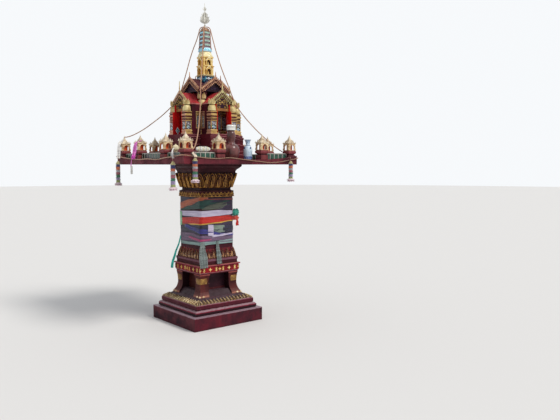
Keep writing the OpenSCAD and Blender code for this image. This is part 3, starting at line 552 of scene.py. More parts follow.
def scroll(size, depth, hand=1, turns=1.1):
    """A curl of round section that narrows to its middle."""
    steps, sides = 14, 6
    line = bmesh.new()
    ring = bmesh.ops.create_circle(line, segments=sides, radius=size * 0.17)["verts"]
    last = Matrix.Identity(4)
    edges = list(line.edges)
    for i in range(steps + 1):
        t = i / steps
        angle = math.tau * turns * t * hand
        reach = size * (1 - 0.72 * t)
        now = (shift(reach * math.cos(angle), reach * math.sin(angle), depth)
            @ Matrix.Rotation(angle + math.pi / 2 * (1 - hand), 4, "Z") @ turn_by(-90, "X")
            @ Matrix.Scale(1 - 0.35 * t, 4))
        if i:
            fresh = bmesh.ops.extrude_edge_only(line, edges=edges)["geom"]
            ring = [v for v in fresh if isinstance(v, bmesh.types.BMVert)]
            edges = [e for e in fresh if isinstance(e, bmesh.types.BMEdge)
                and all(v in ring for v in e.verts)]
        bmesh.ops.transform(line, matrix=now @ last.inverted(), verts=ring)
        last = now
    bmesh.ops.holes_fill(line, edges=line.edges, sides=sides)
    bmesh.ops.recalc_face_normals(line, faces=line.faces)
    return line


def diamond_flower(size):
    return gather(plate(star(4, size, size * 0.36, 90), -0.001, 0.0026, size * 0.09),
        plate(star(4, size * 0.5, size * 0.3, 45), -0.001, 0.0036, size * 0.05), boss(size * 0.2, 0.0034))


def cross(size):
    """A slanted cross with a curl in each of its arms."""
    parts = [plate(star(4, size * 0.85, size * 0.16, 45), -0.001, 0.0024, size * 0.04)]
    for side in (-1, 1):
        for up in (-1, 1):
            parts.append(moved(scroll(size * 0.34, 0.0012, side * up), side * size * 0.2, up * size * 0.46, 0,
                90 * up))
    return gather(*parts)


def half_star(size, side):
    """The half of a pointed star up to the corner."""
    waist = size * 0.26
    points = [(0, size), (-waist, waist), (-size * 0.9, 0), (-waist, -waist), (0, -size)]
    return plate([(side * x, y) for x, y in points], -0.001, 0.003, size * 0.05)


flower_gold = gilded("flower gold", "f3d98c", "c8963e", "7a2420", 0.3, 0.6)
band_mid, band_out = (0.459 + 0.507) / 2, 0.206
pieces = [repeat(diamond_flower(0.0195), all_sides([on_side(x, band_out, band_mid) for x in (-0.1, 0.1)])),
    on_faces(gather(plate(star(4, 0.0185, 0.0065, 90), -0.001, 0.003, 0.001), boss(0.0045, 0.003)), band_out,
    band_mid), repeat(cross(0.0225), all_sides([on_side(x, band_out, band_mid)
    for x in (-0.162, -0.036, 0.036, 0.162)]))]
for side in (-1, 1):
    pieces.append(repeat(half_star(0.02, side), all_sides(
        [on_side(side * (band_out + 0.003), band_out, band_mid)])))
put_in_scene("cornice_flowers", gather(*pieces), [flower_gold])

# Crown. A small maroon step with a lip carries a ring of flame leaves that lean on the foot of the
# shaft. They are cast in relief and rubbed to a pinkish gold: seven a side with a low one in each gap,
# and one over each corner.
# The grey-purple lip band is partly a painted sheen on the lip.
crown_paint = painted_cast("crown maroon", "6a1722", "42101a", dust_and_sheen=0.8,
    bands=[(0.5225, 0.5495, 0.001, "3c0f19"), (0.5535, 0.5715, 0.001, "6c4652")])
coat(crown_paint, "crown_core")


def flame_side(width, height):
    """Right half of a flame leaf with two licks."""
    return [(width * x / 2, height * y) for x, y in ((0.62, 0.0), (0.86, 0.1), (1.0, 0.24), (0.98, 0.36),
        (1.08, 0.5), (0.78, 0.45), (0.74, 0.58), (0.80, 0.74), (0.5, 0.64), (0.36, 0.78), (0.16, 0.92))] + [
        (0, height)]


def cast_flame(width, height, depth):
    """Flame leaf with a sunk field and a smaller flame inside it."""
    outer = plate(mirrored(flame_side(width, height)), 0, depth, width * 0.03, field=1, sink=depth * 0.22)
    inner = plate(mirrored([(x, y + height * 0.05) for x, y in flame_side(width * 0.52, height * 0.62)]), 0,
        depth * 1.1, width * 0.02, sink=-depth * 0.2)
    return gather(outer, inner)


crown_out, crown_low, crown_in, crown_up, crown_span = 0.1885, 0.576, 0.018, 0.085, 0.341
crown_lean, crown_long = slope_of(crown_in, crown_up)
crown_gold = gilded("pinkish gold flames", "d29f64", "7c4c2c", "340c12", 0.2, 0.47)
flame_red = painted_cast("flame field red", "4c1119", "280910", dust_and_sheen=0.1)
on_crown = crown_low, crown_lean
flames = [repeat(cast_flame(0.044, crown_long, 0.0056), in_row(7, crown_span, crown_out, *on_crown)),
    repeat(cast_flame(0.026, crown_long * 0.56, 0.0072), in_row(7, crown_span, crown_out, *on_crown, True)),
    repeat(cast_flame(0.044, crown_long, 0.0056),
    all_corners(crown_out * root_two - 0.003, crown_low, slope_of(crown_in * root_two, crown_up)[0]))]
put_in_scene("crown_flames", gather(*flames), [crown_gold, flame_red], ["crown_leaves"])

# Shaft and its sashes. The square shaft is painted maroon, and worshippers have wound it with sheer
# cloth: twenty strips of nylon in many colours lie over each other, drawn together in two knots at the
# right corner. Each strip is a thin sheet wound round the shaft, wrinkled along its run.
shaft_paint = painted_cast("shaft maroon", "4a1020", "2c0a14", dust_and_sheen=0.2)
coat(shaft_paint, "shaft")
shaft_half, shaft_round = 0.1685, 0.008


def wrapped(way, out):
    """Point on the shaft's outline, a way round in sides from the left front corner, at a distance out."""
    x, inner = shaft_half * (2 * (way % 1) - 1), shaft_half - shaft_round
    middle = min(max(x, -inner), inner)
    away = Vector((x - middle, inner - shaft_half)).normalized() * (shaft_round + out)
    return quarter_turns[int(way // 1) % 4].to_2x2() @ Vector((middle + away.x, away.y - inner))


def between(stations, way):
    """Smoothly interpolated values of the stations (way, values...)."""
    for before, after in zip(stations, stations[1:]):
        if before[0] <= way <= after[0]:
            t = (way - before[0]) / (after[0] - before[0])
            t = t * t * (3 - 2 * t)
            return [a + (b - a) * t for a, b in zip(before[1:], after[1:])]
    return stations[-1][1:]


def sheer_cloth(name, code, second, cover=1.0):
    """Thin woven nylon; streaks of a second, darker tone along its folds are painted fold shade."""
    finish, tree, place = new_finish(name + " cloth", Roughness=0.62, Sheen_Weight=0.35,
        Specular_IOR_Level=0.3, Alpha=cover)
    drawn = shade(tree, "Mapping", {"Vector": place, "Scale": (7, 7, 60)}).outputs[0]
    crease = combined(tree, "ADD", cloud(tree, drawn, 2.4, 3, 0.3, 0.7),
        cloud(tree, place, 1500, 1, 0.3, 0.7))
    dress(tree, blend_of(tree, cloud(tree, drawn, 1.0, 4, 0.36, 0.64), code, second), crease, 0.45, 0.0016)
    return finish


def as_sheet(name, form, finish, stands_for=(), thick=0.0007):
    """Makes a one-layer form a sheet of cloth with a real thickness."""
    bmesh.ops.recalc_face_normals(form, faces=form.faces)
    piece = put_in_scene(name, form, [finish], stands_for, angle=80)
    wall = piece.modifiers.new("cloth thickness", "SOLIDIFY")
    wall.thickness = thick
    wall.offset = 0


def wound_strip(name, finish, stations, out, folds, seed, stands_for=(), deep=0.004):
    """A strip of cloth wound on the shaft. Stations are (way round, low edge, high edge)."""
    first, last = stations[0][0], stations[-1][0]
    columns, rows = int((last - first) * 26) + 2, 3 * folds + 3
    form = bmesh.new()
    bmesh.ops.create_grid(form, x_segments=columns, y_segments=rows, size=0.5)
    for vertex in form.verts:
        way = first + (last - first) * (vertex.co.x + 0.5)
        share = vertex.co.y + 0.5
        low, high = between(stations, way)
        drift = noise.noise(Vector((way * 1.3, seed * 7.1, 0.0))) * 1.4
        fold = noise.noise(Vector((way * 0.9, share * folds + drift, seed * 3.7)))
        fine = noise.noise(Vector((way * 2.1, share * folds * 2.4 + drift, seed * 9.3)))
        taut = 0.35 + 0.65 * abs(math.sin(math.pi * way)) ** 0.6
        lift = out + deep * taut * max(0.0, 0.55 + fold * 0.9 + fine * 0.35)
        edge = 0.003 * noise.noise(Vector((way * 2.3, share * 2, seed * 5.9)))
        spot = wrapped(way, lift)
        vertex.co = (spot.x, spot.y, low + (high - low) * share + edge)
    if abs(last - first - 4) < 1e-6:
        bmesh.ops.remove_doubles(form, verts=form.verts, dist=0.0005)
    as_sheet(name, form, finish, stands_for)


# Each cloth's second tone is the darker tone of its painted fold shade.
cloths = {name: sheer_cloth(name, *look) for name, *look in (
    ("dark navy", "262442", "15131f"), ("dark green", "1d4a42", "12302c"), ("plum", "3c2a48", "241a30"),
    ("grey olive", "62685a", "43473e"), ("burnt orange", "b4603c", "8a3e28"), ("brick", "8c3a38", "5f2628"),
    ("lavender white", "d3c9de", "b3aac6"), ("mint", "a9d9b4", "7fbf96", 0.85),
    ("bright red", "cc2418", "a3160f"), ("ochre", "d6b044", "ad8530"), ("blue violet", "34348a", "1f1f4c"),
    ("pale lilac", "c6bcd2", "a49ab4"), ("grey green", "7d8c80", "5a665e"), ("mauve", "6d5470", "4a3a52"),
    ("magenta", "b23f72", "863058"), ("teal grey", "8fa9a6", "6c8684", 0.9), ("teal", "38a08c", "23786a"))}
# Each row has the strip's cloth, its distance from the shaft, its folds and its stations round the shaft.
strips = (
    ("navy_high", "dark navy", 0.0012, 5, [(0, 1.02, 1.112), (1, 1.0, 1.108), (2, 1.01, 1.11), (3, 1.02, 1.112),
        (4, 1.02, 1.112)]),
    ("plum_low", "plum", 0.001, 11, [(0, 0.715, 0.985), (1, 0.715, 0.98), (2, 0.715, 0.985), (3, 0.712, 0.985),
        (4, 0.715, 0.985)]),
    ("green", "dark green", 0.003, 5, [(-0.95, 0.992, 1.006), (-0.35, 1.006, 1.058), (0, 1.016, 1.098),
        (0.5, 1.02, 1.104), (1, 1.03, 1.096), (2, 1.02, 1.09), (3.05, 0.99, 1.03)]),
    ("burnt_orange", "burnt orange", 0.0052, 3, [(-1.9, 0.985, 1.04), (-1, 1.004, 1.062), (-0.5, 1.04, 1.094),
        (0, 1.086, 1.116), (0.22, 1.104, 1.114)]),
    ("brick", "brick", 0.0052, 1, [(0.1, 1.092, 1.104), (0.9, 1.086, 1.102), (1.9, 1.08, 1.1)]),
    ("grey_olive", "grey olive", 0.0048, 4, [(0.02, 1.004, 1.02), (0.3, 1.005, 1.05), (0.6, 1.01, 1.066),
        (0.8, 1.04, 1.066)]),
    ("plum_high", "plum", 0.004, 4, [(0.55, 1.0, 1.03), (0.8, 1.0, 1.07), (1, 1.0, 1.085), (1.8, 1.0, 1.07)]),
    ("lavender", "lavender white", 0.0056, 4, [
        (0, 0.945, 0.998), (0.5, 0.948, 1.002), (0.9, 0.956, 0.994), (1, 0.964, 0.988), (1.1, 0.956, 0.994),
        (2, 0.95, 0.998), (3, 0.944, 0.988), (4, 0.945, 0.998)]),
    ("mint", "mint", 0.0085, 3, [(2.9, 0.855, 0.99), (3.0, 0.85, 0.988), (3.12, 0.86, 0.98)]),
    ("red", "bright red", 0.0062, 4, [(0, 0.884, 0.946), (0.5, 0.892, 0.95), (0.85, 0.902, 0.95), (1, 0.91, 0.938),
        (1.15, 0.9, 0.944), (2, 0.89, 0.944), (3, 0.872, 0.926), (4, 0.884, 0.946)]),
    ("ochre", "ochre", 0.0058, 1, [(0, 0.876, 0.886), (0.5, 0.882, 0.894), (0.9, 0.896, 0.904), (1.6, 0.886, 0.892),
        (2.9, 0.862, 0.874), (4, 0.876, 0.886)]),
    ("navy_low", "dark navy", 0.0036, 6, [
        (0, 0.80, 0.88), (0.4, 0.785, 0.86), (0.8, 0.765, 0.79), (1.2, 0.76, 0.84), (2, 0.77, 0.88),
        (3, 0.82, 0.872), (3.5, 0.81, 0.876), (4, 0.80, 0.88)]),
    ("blue", "blue violet", 0.0066, 4, [(-0.75, 0.845, 0.868), (-0.3, 0.82, 0.852), (0, 0.80, 0.842),
        (0.25, 0.79, 0.83), (0.6, 0.775, 0.795), (1.05, 0.765, 0.78)]),
    ("navy_right", "dark navy", 0.0062, 4, [(0.68, 0.80, 0.858), (1, 0.81, 0.856), (1.7, 0.8, 0.85)]),
    ("grey_green", "grey green", 0.0056, 4, [(0.33, 0.795, 0.868), (0.5, 0.8, 0.866), (0.72, 0.8, 0.864)]),
    ("lilac_drop", "pale lilac", 0.0078, 2, [(0.2, 0.78, 0.876), (0.28, 0.775, 0.874), (0.37, 0.77, 0.872)]),
    ("lilac_loop", "pale lilac", 0.0074, 2, [(0.33, 0.762, 0.788), (0.6, 0.768, 0.79), (0.82, 0.775, 0.79),
        (1.05, 0.78, 0.79)]),
    ("mauve", "mauve", 0.0046, 6, [(0, 0.722, 0.782), (1, 0.712, 0.768), (2, 0.71, 0.77), (3, 0.715, 0.79),
        (3.6, 0.73, 0.80), (4, 0.722, 0.782)]),
    ("magenta", "magenta", 0.0066, 2, [(-0.55, 0.752, 0.77), (-0.2, 0.738, 0.757), (0, 0.732, 0.75),
        (0.3, 0.736, 0.748)]),
    ("teal_grey", "teal grey", 0.0052, 3, [(-0.9, 0.69, 0.716), (0, 0.696, 0.722), (0.5, 0.7, 0.73), (1, 0.7, 0.735),
        (1.8, 0.7, 0.73), (3.1, 0.692, 0.715)]))
for seed, (name, cloth, out, folds, stations) in enumerate(strips, 1):
    wound_strip("sash_" + name, cloths[cloth], stations, out, folds, seed, ["sashes"] if seed == 1 else ())

# Knots and tails of the sashes. Where a strip was tied, its gathered ends stand out in a crumpled
# knot, and the loose ends hang straight down the crown and the cornice in soft flutes.
def crumpled_knot(name, finish, centre, size, seed):
    """Pulled-together cloth: a ball of folds with a crossing wrap."""
    form = bmesh.new()
    bmesh.ops.create_icosphere(form, subdivisions=4, radius=1)
    for vertex in form.verts:
        way = vertex.co.copy()
        ridge = abs(noise.noise(way * 2.1 + Vector((seed, 0, 0)))) + 0.5 * abs(noise.noise(way * 4.3))
        waist = 1 - 0.3 * math.exp(-(way.x * 3.2) ** 2)
        vertex.co = way * (0.82 + 0.5 * ridge) * waist
    bmesh.ops.scale(form, vec=size, verts=form.verts)
    put_in_scene(name, moved(form, *centre), [finish], angle=70)


crumpled_knot("knot_teal", cloths["teal"], (0.198, -0.174, 0.972), (0.034, 0.024, 0.038), 3)
crumpled_knot("knot_red", sheer_cloth("salmon red", "df5a48", "b8382c"), (0.192, -0.178, 0.922),
    (0.034, 0.024, 0.024), 8)


def hanging_tail(name, finish, line, width, turn, seed, flutes=2):
    """A loose end that hangs along a line of points, gathered at the top and fluted below."""
    rows, columns = len(line) - 1, 6 * flutes
    form = bmesh.new()
    bmesh.ops.create_grid(form, x_segments=columns, y_segments=rows, size=0.5)
    across = turn_by(turn) @ Vector((1, 0, 0))
    outward = Vector((across.y, -across.x, 0))
    for vertex in form.verts:
        step = min(round((vertex.co.y + 0.5) * rows), rows)
        share, down = vertex.co.x, step / rows
        spread = width * (0.42 + 0.58 * min(1, down * 1.6))
        flute = 0.0045 * (0.4 + down) * math.sin(share * math.tau * flutes
            + 1.7 * noise.noise(Vector((seed, down * 2.2, share))))
        vertex.co = line[step] + across * spread * share + outward * (flute + 0.0045)
    as_sheet(name, form, finish)


def drop_line(way, *points):
    """Line down the shaft and over the crown. Points are (distance from the axis, height, slip), in mm."""
    side = int(way // 1) % 4
    along = (Matrix.Rotation(math.radians(-90 * side), 2) @ wrapped(way, 0)).x
    return smooth_line([Matrix.Rotation(math.radians(90 * side), 3, "Z")
        @ Vector((along + slip, -out, height)) for out, height, slip in mm(*points)], 0.008)


sheer_grey = sheer_cloth("sheer grey", "8d9a98", "66706e", 0.6)
hanging_tail("tail_left", sheer_grey, drop_line(0.03, (176, 730, 0), (179, 700, -4), (186, 655, -10),
    (203, 600, -12), (210, 552, -14), (222, 526, -18), (224, 505, -18)), 0.085, 0, 31, 3)
hanging_tail("tail_right", sheer_grey, drop_line(0.5, (177, 730, -6), (179, 700, -6), (186, 655, -7),
    (203, 600, -8), (210, 552, -10), (221, 530, -12)), 0.05, 0, 32)
hanging_tail("tail_teal_left", sheer_cloth("bright teal", "3ec8b6", "27988c"),
    drop_line(3.05, (176, 760, 0), (181, 730, -4), (190, 680, -14), (209, 620, -30), (216, 570, -46),
    (226, 530, -56), (231, 500, -60), (233, 462, -64)), 0.03, -90, 33)
hanging_tail("tail_red_knot", cloths["bright red"],
    smooth_line(mm((204, -180, 908), (208, -184, 880), (206, -184, 862), (207, -186, 852)), 0.008), 0.046, 20,
    34, 2)

# Zigzag band. Two gold lines cross in zigzags round the neck of the shaft on a dark red ground, over a
# gold fillet.
dark_ground = painted_cast("dark red ground", "4a1218", "240a0e", dust_and_sheen=0.15)
band_gold = gilded("old gold lines", "cf9c46", "8c5c24", "3c1014", 0.35, 0.55)
zig_half, zig_low = 0.1755, 1.118


def strip_of(line, thick):
    """Outline of a strip that follows a line, thick in height."""
    return [(x, y - thick / 2) for x, y in line] + [(x, y + thick / 2) for x, y in reversed(line)]


def box_form(x, y, z, low=(0, 0, 0), finish=0):
    """Box with its foot's middle at low."""
    return in_finish(moved(block(x, y, z), low[0], low[1], low[2] + z / 2), finish)


def zigzag_line(low, high, teeth=9):
    step = 2 * zig_half / teeth
    return [(-zig_half + step * i / 2, high if i % 2 else low) for i in range(2 * teeth + 1)]


lines = [plate(strip_of(zigzag_line(low, low + 0.019), 0.0046), 0, 0.005, 0.0011, sink=-0.0003)
    for low in (0.007, 0.020)]
fillet = plate([(-zig_half - 0.004, 0), (zig_half + 0.004, 0), (zig_half + 0.004, 0.0045),
    (-zig_half - 0.004, 0.0045)], 0, 0.0042)
ground = box_form(2 * zig_half, 2 * zig_half, 0.053, (0, 0, zig_low), 1)
put_in_scene("zigzag_lines", gather(ground, on_faces(gather(*lines, fillet), zig_half, zig_low)),
    [band_gold, dark_ground], ["zigzag_band"])

# Lotus capital. Five tall petals a side and one folded over each corner flare out under the tray, each
# cast with a double gold outline on a red-black ground. The tips of a second row fill the gaps.
capital_paint = painted_cast("capital maroon", "3e0f18", "230910", dust_and_sheen=0.2,
    bands=[(1.165, 1.2, 0.003, "260a10"), (1.2, 1.326, 0.002, "220a0c")])
coat(capital_paint, "capital_core")
petal_gold = gilded("petal gold", "dca346", "95652b", "300b0e", 0.3, 0.52)
petal_ground = painted_cast("petal red black", "4c1015", "260909", chipped=0.8, dust_and_sheen=0.05)
petal_out, petal_low, petal_flare, petal_up = 0.1645, 1.201, 0.0325, 0.125
petal_lean, petal_long = slope_of(-petal_flare, petal_up)


def petal_side(width, height, count=9):
    """Right half of a full petal that swells before its tip."""
    return [(width / 2 * (0.8 + 0.2 * math.sin(math.pi * i / count)) * math.sqrt(
        max(0.0, 1 - (i / count) ** 4)), height * i / count) for i in range(count)] + [(0, height)]


def cast_petal(width, height, depth):
    """Petal with a gold edge, and a second gold outline round a raised heart."""
    outer = plate(mirrored(petal_side(width, height)), 0, depth, width * 0.06, field=1, sink=depth * 0.4)
    second = plate(mirrored([(x, y + height * 0.02) for x, y in petal_side(width * 0.6, height * 0.8)]), 0,
        depth * 0.9, width * 0.055, field=1, sink=depth * 0.3)
    heart = plate(mirrored([(x, y + height * 0.04) for x, y in petal_side(width * 0.13, height * 0.5)]), 0,
        depth * 1.1, width * 0.05, sink=-depth * 0.15)
    return gather(outer, second, heart)


corner_lean, corner_long = slope_of(-petal_flare * root_two, petal_up)
petals = gather(repeat(cast_petal(0.0618, petal_long, 0.009),
    in_row(5, 0.329, petal_out, petal_low, petal_lean)),
    repeat(plate(mirrored(petal_side(0.044, petal_long * 0.97)), 0, 0.0035, 0.0028, field=1, sink=0.0014),
    in_row(5, 0.345, petal_out, petal_low, petal_lean, True)),
    repeat(cast_petal(0.058, corner_long, 0.009),
    all_corners(petal_out * root_two - 0.004, petal_low, corner_lean)))
put_in_scene("capital_petals", petals, [petal_gold, petal_ground], ["lotus_petals"])

# Tray. A cast floor in a rim that rises at its corners, in maroon paint with a purple cast, with painted
# shade along the rim's lower edge, and pale on top with dust and painted sheen.
tray_paint = painted_cast("tray maroon", "5e2028", "3c121a", dust_and_sheen=0.5)
# The dark band at the foot of the rim is painted shade.
rim_paint = painted_cast("rim maroon", "702832", "451720", dust_and_sheen=0.6, bands=[(1.4, 1.406, 0.001, "3a101a")])
coat(tray_paint, "tray_floor")
coat(rim_paint, "tray_rim")

# Rope along the rim. A tan rope like the stays rests on the raised corners and goes up and down in
# waves along the sides. The waves are its heights over the tray's floor in mm, eight a side.
rim_line_out, floor_top = 0.5833, 1.439
waves = [[34, 18, 8, 15, 2, -12, -22, -8], [18, 6, 10, -2, 8, 4, -6, 16], [34, 16, 4, 10, -6, 6, 12, 20],
    [34, 22, 10, 4, 8, 2, 14, 24]]
rim_knots = [quarter_turns[k] @ Vector((rim_line_out * (i / 4 - 1), -rim_line_out,
    floor_top + waves[k][i] / 1000)) for k in range(4) for i in range(8)]
rim_line = smooth_line(rim_knots, 0.012, True)
put_in_scene("rim_rope_laid", laid_rope(rim_line, rope_thick, 0.034, True), [rope_tan],
    ["rim_rope"])

# Lanterns. Twelve small pavilions stand on pedestals round the tray. Each has four arches with pointed
# hoods round an orange-red core, and is brushed cream gold outside and orange red inside.
ring_out, inner_at, arcade_low, cap_foot = 0.5307, 0.222, 1.523, 1.585
lantern_spots = [turn @ shift(x, -ring_out, 0) for turn in quarter_turns
    for x in (-ring_out, -inner_at, inner_at)]
# The lighter band at the top of the bowls is a painted highlight.
post_paint = painted_cast("lantern post maroon", "88423f", "50202a", dust_and_sheen=0.5,
    bands=[(1.4835, 1.491, 0.0012, "35101a"), (1.4925, 1.519, 0.0014, "7c3a3e"),
    (1.5195, 1.524, 0.001, "8a4438")])
coat(post_paint, "lantern_posts")
cream_gold = gilded("cream gold", "e4cfa8", "b49068", "6a3626", 0.12, 0.62, (0.45, 0.7), 0.25)
lantern_red = painted_cast("lantern orange red", "e0683c", "a83a22", dust_and_sheen=0.1)


def arch_line(width, height, point=0.0, count=10):
    """Arch from its right foot over the crown to its left foot, with a lift at the middle."""
    spring = height - width / 2
    top = [(width / 2 * math.cos(math.pi * i / count),
        spring + width / 2 * math.sin(math.pi * i / count) + point * max(0.0, 1 - abs(i / count - 0.5) * 5))
        for i in range(count + 1)]
    return [(width / 2, 0)] + top + [(-width / 2, 0)]


def frame_of(inner, outer):
    """Outline between two arch lines."""
    return outer + inner[::-1]


def pavilion():
    """One pavilion: sill and ceiling, four arched walls, hoods and petal feet."""
    parts = [box_form(0.076, 0.076, 0.0042, (0, 0, 0), 1), box_form(0.0755, 0.0755, 0.009, (0, 0, 0.0525), 1),
        box_form(0.081, 0.081, 0.0035, (0, 0, 0.0585)), box_form(0.0815, 0.0815, 0.003, (0, 0, 0.0004))]
    door = arch_line(0.046, 0.0462)
    wall = plate(mm((37.9, 57.5), (-37.9, 57.5), (-37.9, 0), (-23, 0)) + door[::-1][1:-1]
        + [(0.023, 0), (0.0379, 0)], -0.0045, 0)
    for face in wall.faces:
        if face.normal.z < 0.5:
            face.material_index = 1
    walls = [wall, plate(frame_of(arch_line(0.0462, 0.0463), arch_line(0.0555, 0.0515, 0.007)), -0.001, 0.0042,
        0.0012, sink=-0.0008), moved(boss(0.0036, 0.003), 0, 0.0475)]
    for x in (-0.0325, 0.0325):
        walls += [moved(plate(mirrored(leaf_side(0.0135, 0.0185, 5)), -0.001, 0.0052, 0.0012, sink=0.0012), x,
            -0.0005), moved(boss(0.0028, 0.0035), x, 0.0375),
            moved(plate(mm((-4.5, 0), (4.5, 0), (4.5, 3), (-4.5, 3)), -0.001, 0.0024), x, 0.0305)]
    core = box_form(0.034, 0.034, 0.058, (0, 0, 0.003), 1)
    return gather(*parts, on_faces(gather(*walls), 0.038, 0.0042), core)


put_in_scene("lantern_arcades", repeat(pavilion(), [spot @ shift(0, 0, arcade_low) for spot in lantern_spots]),
    [cream_gold, lantern_red], ["lantern_pavilions"])

# Lantern roofs. A flared roof with ribbed hips, a leaf over each arch and a beaded tip.
def skinned(rings, finish=0):
    """Closed solid over rings of points that lie above each other."""
    form = bmesh.new()
    loops = [[form.verts.new(point) for point in ring] for ring in rings]
    for low, high in zip(loops, loops[1:]):
        for i in range(len(low)):
            j = (i + 1) % len(low)
            form.faces.new((low[i], low[j], high[j], high[i]))
    form.faces.new(loops[0][::-1])
    form.faces.new(loops[-1])
    return in_finish(form, finish)


def turned_form(profile, sides=4, finish=0):
    """Solid turned from a profile of radius and height; square ones take the half-width as radius."""
    square = sides < 8
    reach = 1 / math.cos(math.pi / sides) if square else 1
    angles = [math.tau * (i + 0.5 * square) / sides for i in range(sides)]
    form = skinned([[(radius * reach * math.cos(angle), radius * reach * math.sin(angle), height)
        for angle in angles] for radius, height in profile], finish)
    bmesh.ops.remove_doubles(form, verts=form.verts, dist=1e-7)
    return form


def lantern_roof():
    eave = 0.044
    curve = [(eave + 0.001 + 0.026 * math.cos(math.radians(a)), 0.030 + 0.026 * math.sin(math.radians(a)))
        for a in range(-98, -159, -10)]
    parts = [turned_form([(0.001, 0), (eave, 0), (eave, 0.0036)] + curve
        + [(0.0052, 0.052), (0.0052, 0.0555)]), turned_form(
        mm((1, 55.5), (4.5, 56.5), (6, 59.5), (4.5, 62.5), (2.2, 63.5), (3.4, 65.5), (1.2, 72), (0.3, 78)),
        10)]
    for reach, height in ((0.0345, 0.0062), (0.0262, 0.0122), (0.0205, 0.0205), (0.0165, 0.030)):
        parts.append(turned_form([(0.001, height - 0.002), (reach + 0.0024, height - 0.002),
            (reach + 0.003, height + 0.0005), (reach + 0.0015, height + 0.0022), (0.001, height + 0.0022)]))
    leaf = moved(plate(mirrored(mm((11, 0), (12.5, 4), (8.5, 8), (8.8, 12.5), (4.5, 16), (2.2, 21), (0, 26))),
        0, 0.003, 0.0011, sink=0.0008), 0, -0.001)
    horn = plate(mirrored(mm((5.5, 0), (6, 4), (3.5, 8.5), (0, 15.5))), 0, 0.0026, 0.0008, sink=0.0005)
    return gather(*parts, on_faces(leaf, eave - 0.0032, 0.0030, 8),
        repeat(horn, all_corners(eave * root_two - 0.006, 0.0028, -22)))


put_in_scene("lantern_caps", repeat(lantern_roof(), [spot @ shift(0, 0, cap_foot) for spot in lantern_spots]),
    [gilded("cream roof paint", "e8dcc4", "b8a287", "75402e", 0.08, 0.66, (0.5, 0.75), 0.25)],
    ["lantern_roofs"])

# Balustrade. Glazed dark green squares with cushioned faces, set in pale frames between the lanterns.
frame_paint = painted_cast("balustrade pale paint", "b9b8ae", "857e7c", "4d4648", "7f7a78", dust_and_sheen=0.3)
coat(frame_paint, "balustrade_frames")
green_glaze, tree, place = new_finish("dark green glaze", Roughness=0.16, Coat_Weight=0.25,
    Coat_Roughness=0.08, Specular_IOR_Level=0.4)
dress(tree, blend_of(tree, cloud(tree, place, 34, 4), "1f5c46", "0d2c22"))
tiles = []
gap, joint = 0.0375, 0.008
for low, high, count in ((-ring_out, -inner_at, 5), (-inner_at, inner_at, 8), (inner_at, ring_out, 5)):
    pitch = (high - low - 2 * gap - joint) / count
    tiles += [(low + gap + joint + (i + 0.5) * pitch - joint / 2, pitch - joint) for i in range(count)]


def cushion(width, height, thick):
    """Glazed square with rounded corners and a cushioned face on both sides."""
    form = block(width, thick, height)
    for through, offset, segments in ((True, 0.006, 3), (False, 0.0022, 2)):
        edges = [e for e in form.edges if (abs(e.verts[0].co.y - e.verts[1].co.y) > 1e-6) == through]
        bmesh.ops.bevel(form, geom=edges, offset=offset, segments=segments, affect="EDGES")
    return form


glazed = [repeat(cushion(width - 0.0004, 0.0436, 0.0105),
    [turn @ shift(x, -ring_out, floor_top + 0.030)
    for turn in (quarter_turns if abs(x) > inner_at else quarter_turns[1:])]) for x, width in tiles]
put_in_scene("glazed_cushions", gather(*glazed), [green_glaze], ["glazed_squares"])

# Garlands. Four strings of cloth flowers hang outside the rim, each on a thread that is looped over
# the rope. The flowers are threaded close in eight bands of colour, over a skirt of pink petals.
garland_places = [(3, -0.87, -0.009, 0.214), (3, 0.81, -0.017, 0.222), (0, -0.86, 0.009, 0.186),
    (0, 0.83, -0.010, 0.174)]
garland_out, garland_reach, rim_half = 0.6103, 0.021, 0.578
band_codes = (("pale straw", "d6cc96"), ("navy", "2f3378"), ("orange", "e07c50"), ("pale grey", "c6c8cc"),
    ("rose", "bc6a78"), ("green", "3f8764"), ("lilac", "b8a6cc"), ("lime", "aebc70"),
    ("petal pink", "edd4dc"))


def flower_cloth(name, code):
    finish, tree, place = new_finish(name + " cloth flowers", Roughness=0.85, Sheen_Weight=0.3)
    colour = tone(code)
    shadow = (*[part * 0.55 for part in colour[:3]], 1)
    dress(tree, blend_of(tree, cloud(tree, place, 240, 3, 0.4, 0.62), colour, shadow))
    return finish


def ruffled_disc(reach, thick, lobes, finish=0):
    """A threaded flower: a low disc with a lobed rim."""
    rim = [((1 if j % 2 else 0.84), math.pi * j / lobes) for j in range(2 * lobes)]
    return skinned([[(reach * share * lobe * math.cos(angle), reach * share * lobe * math.sin(angle),
        thick * height) for lobe, angle in rim] for share, height in ((0.6, -0.2), (0.97, 0.15), (1.0, 0.6),
        (0.62, 1.0))], finish)


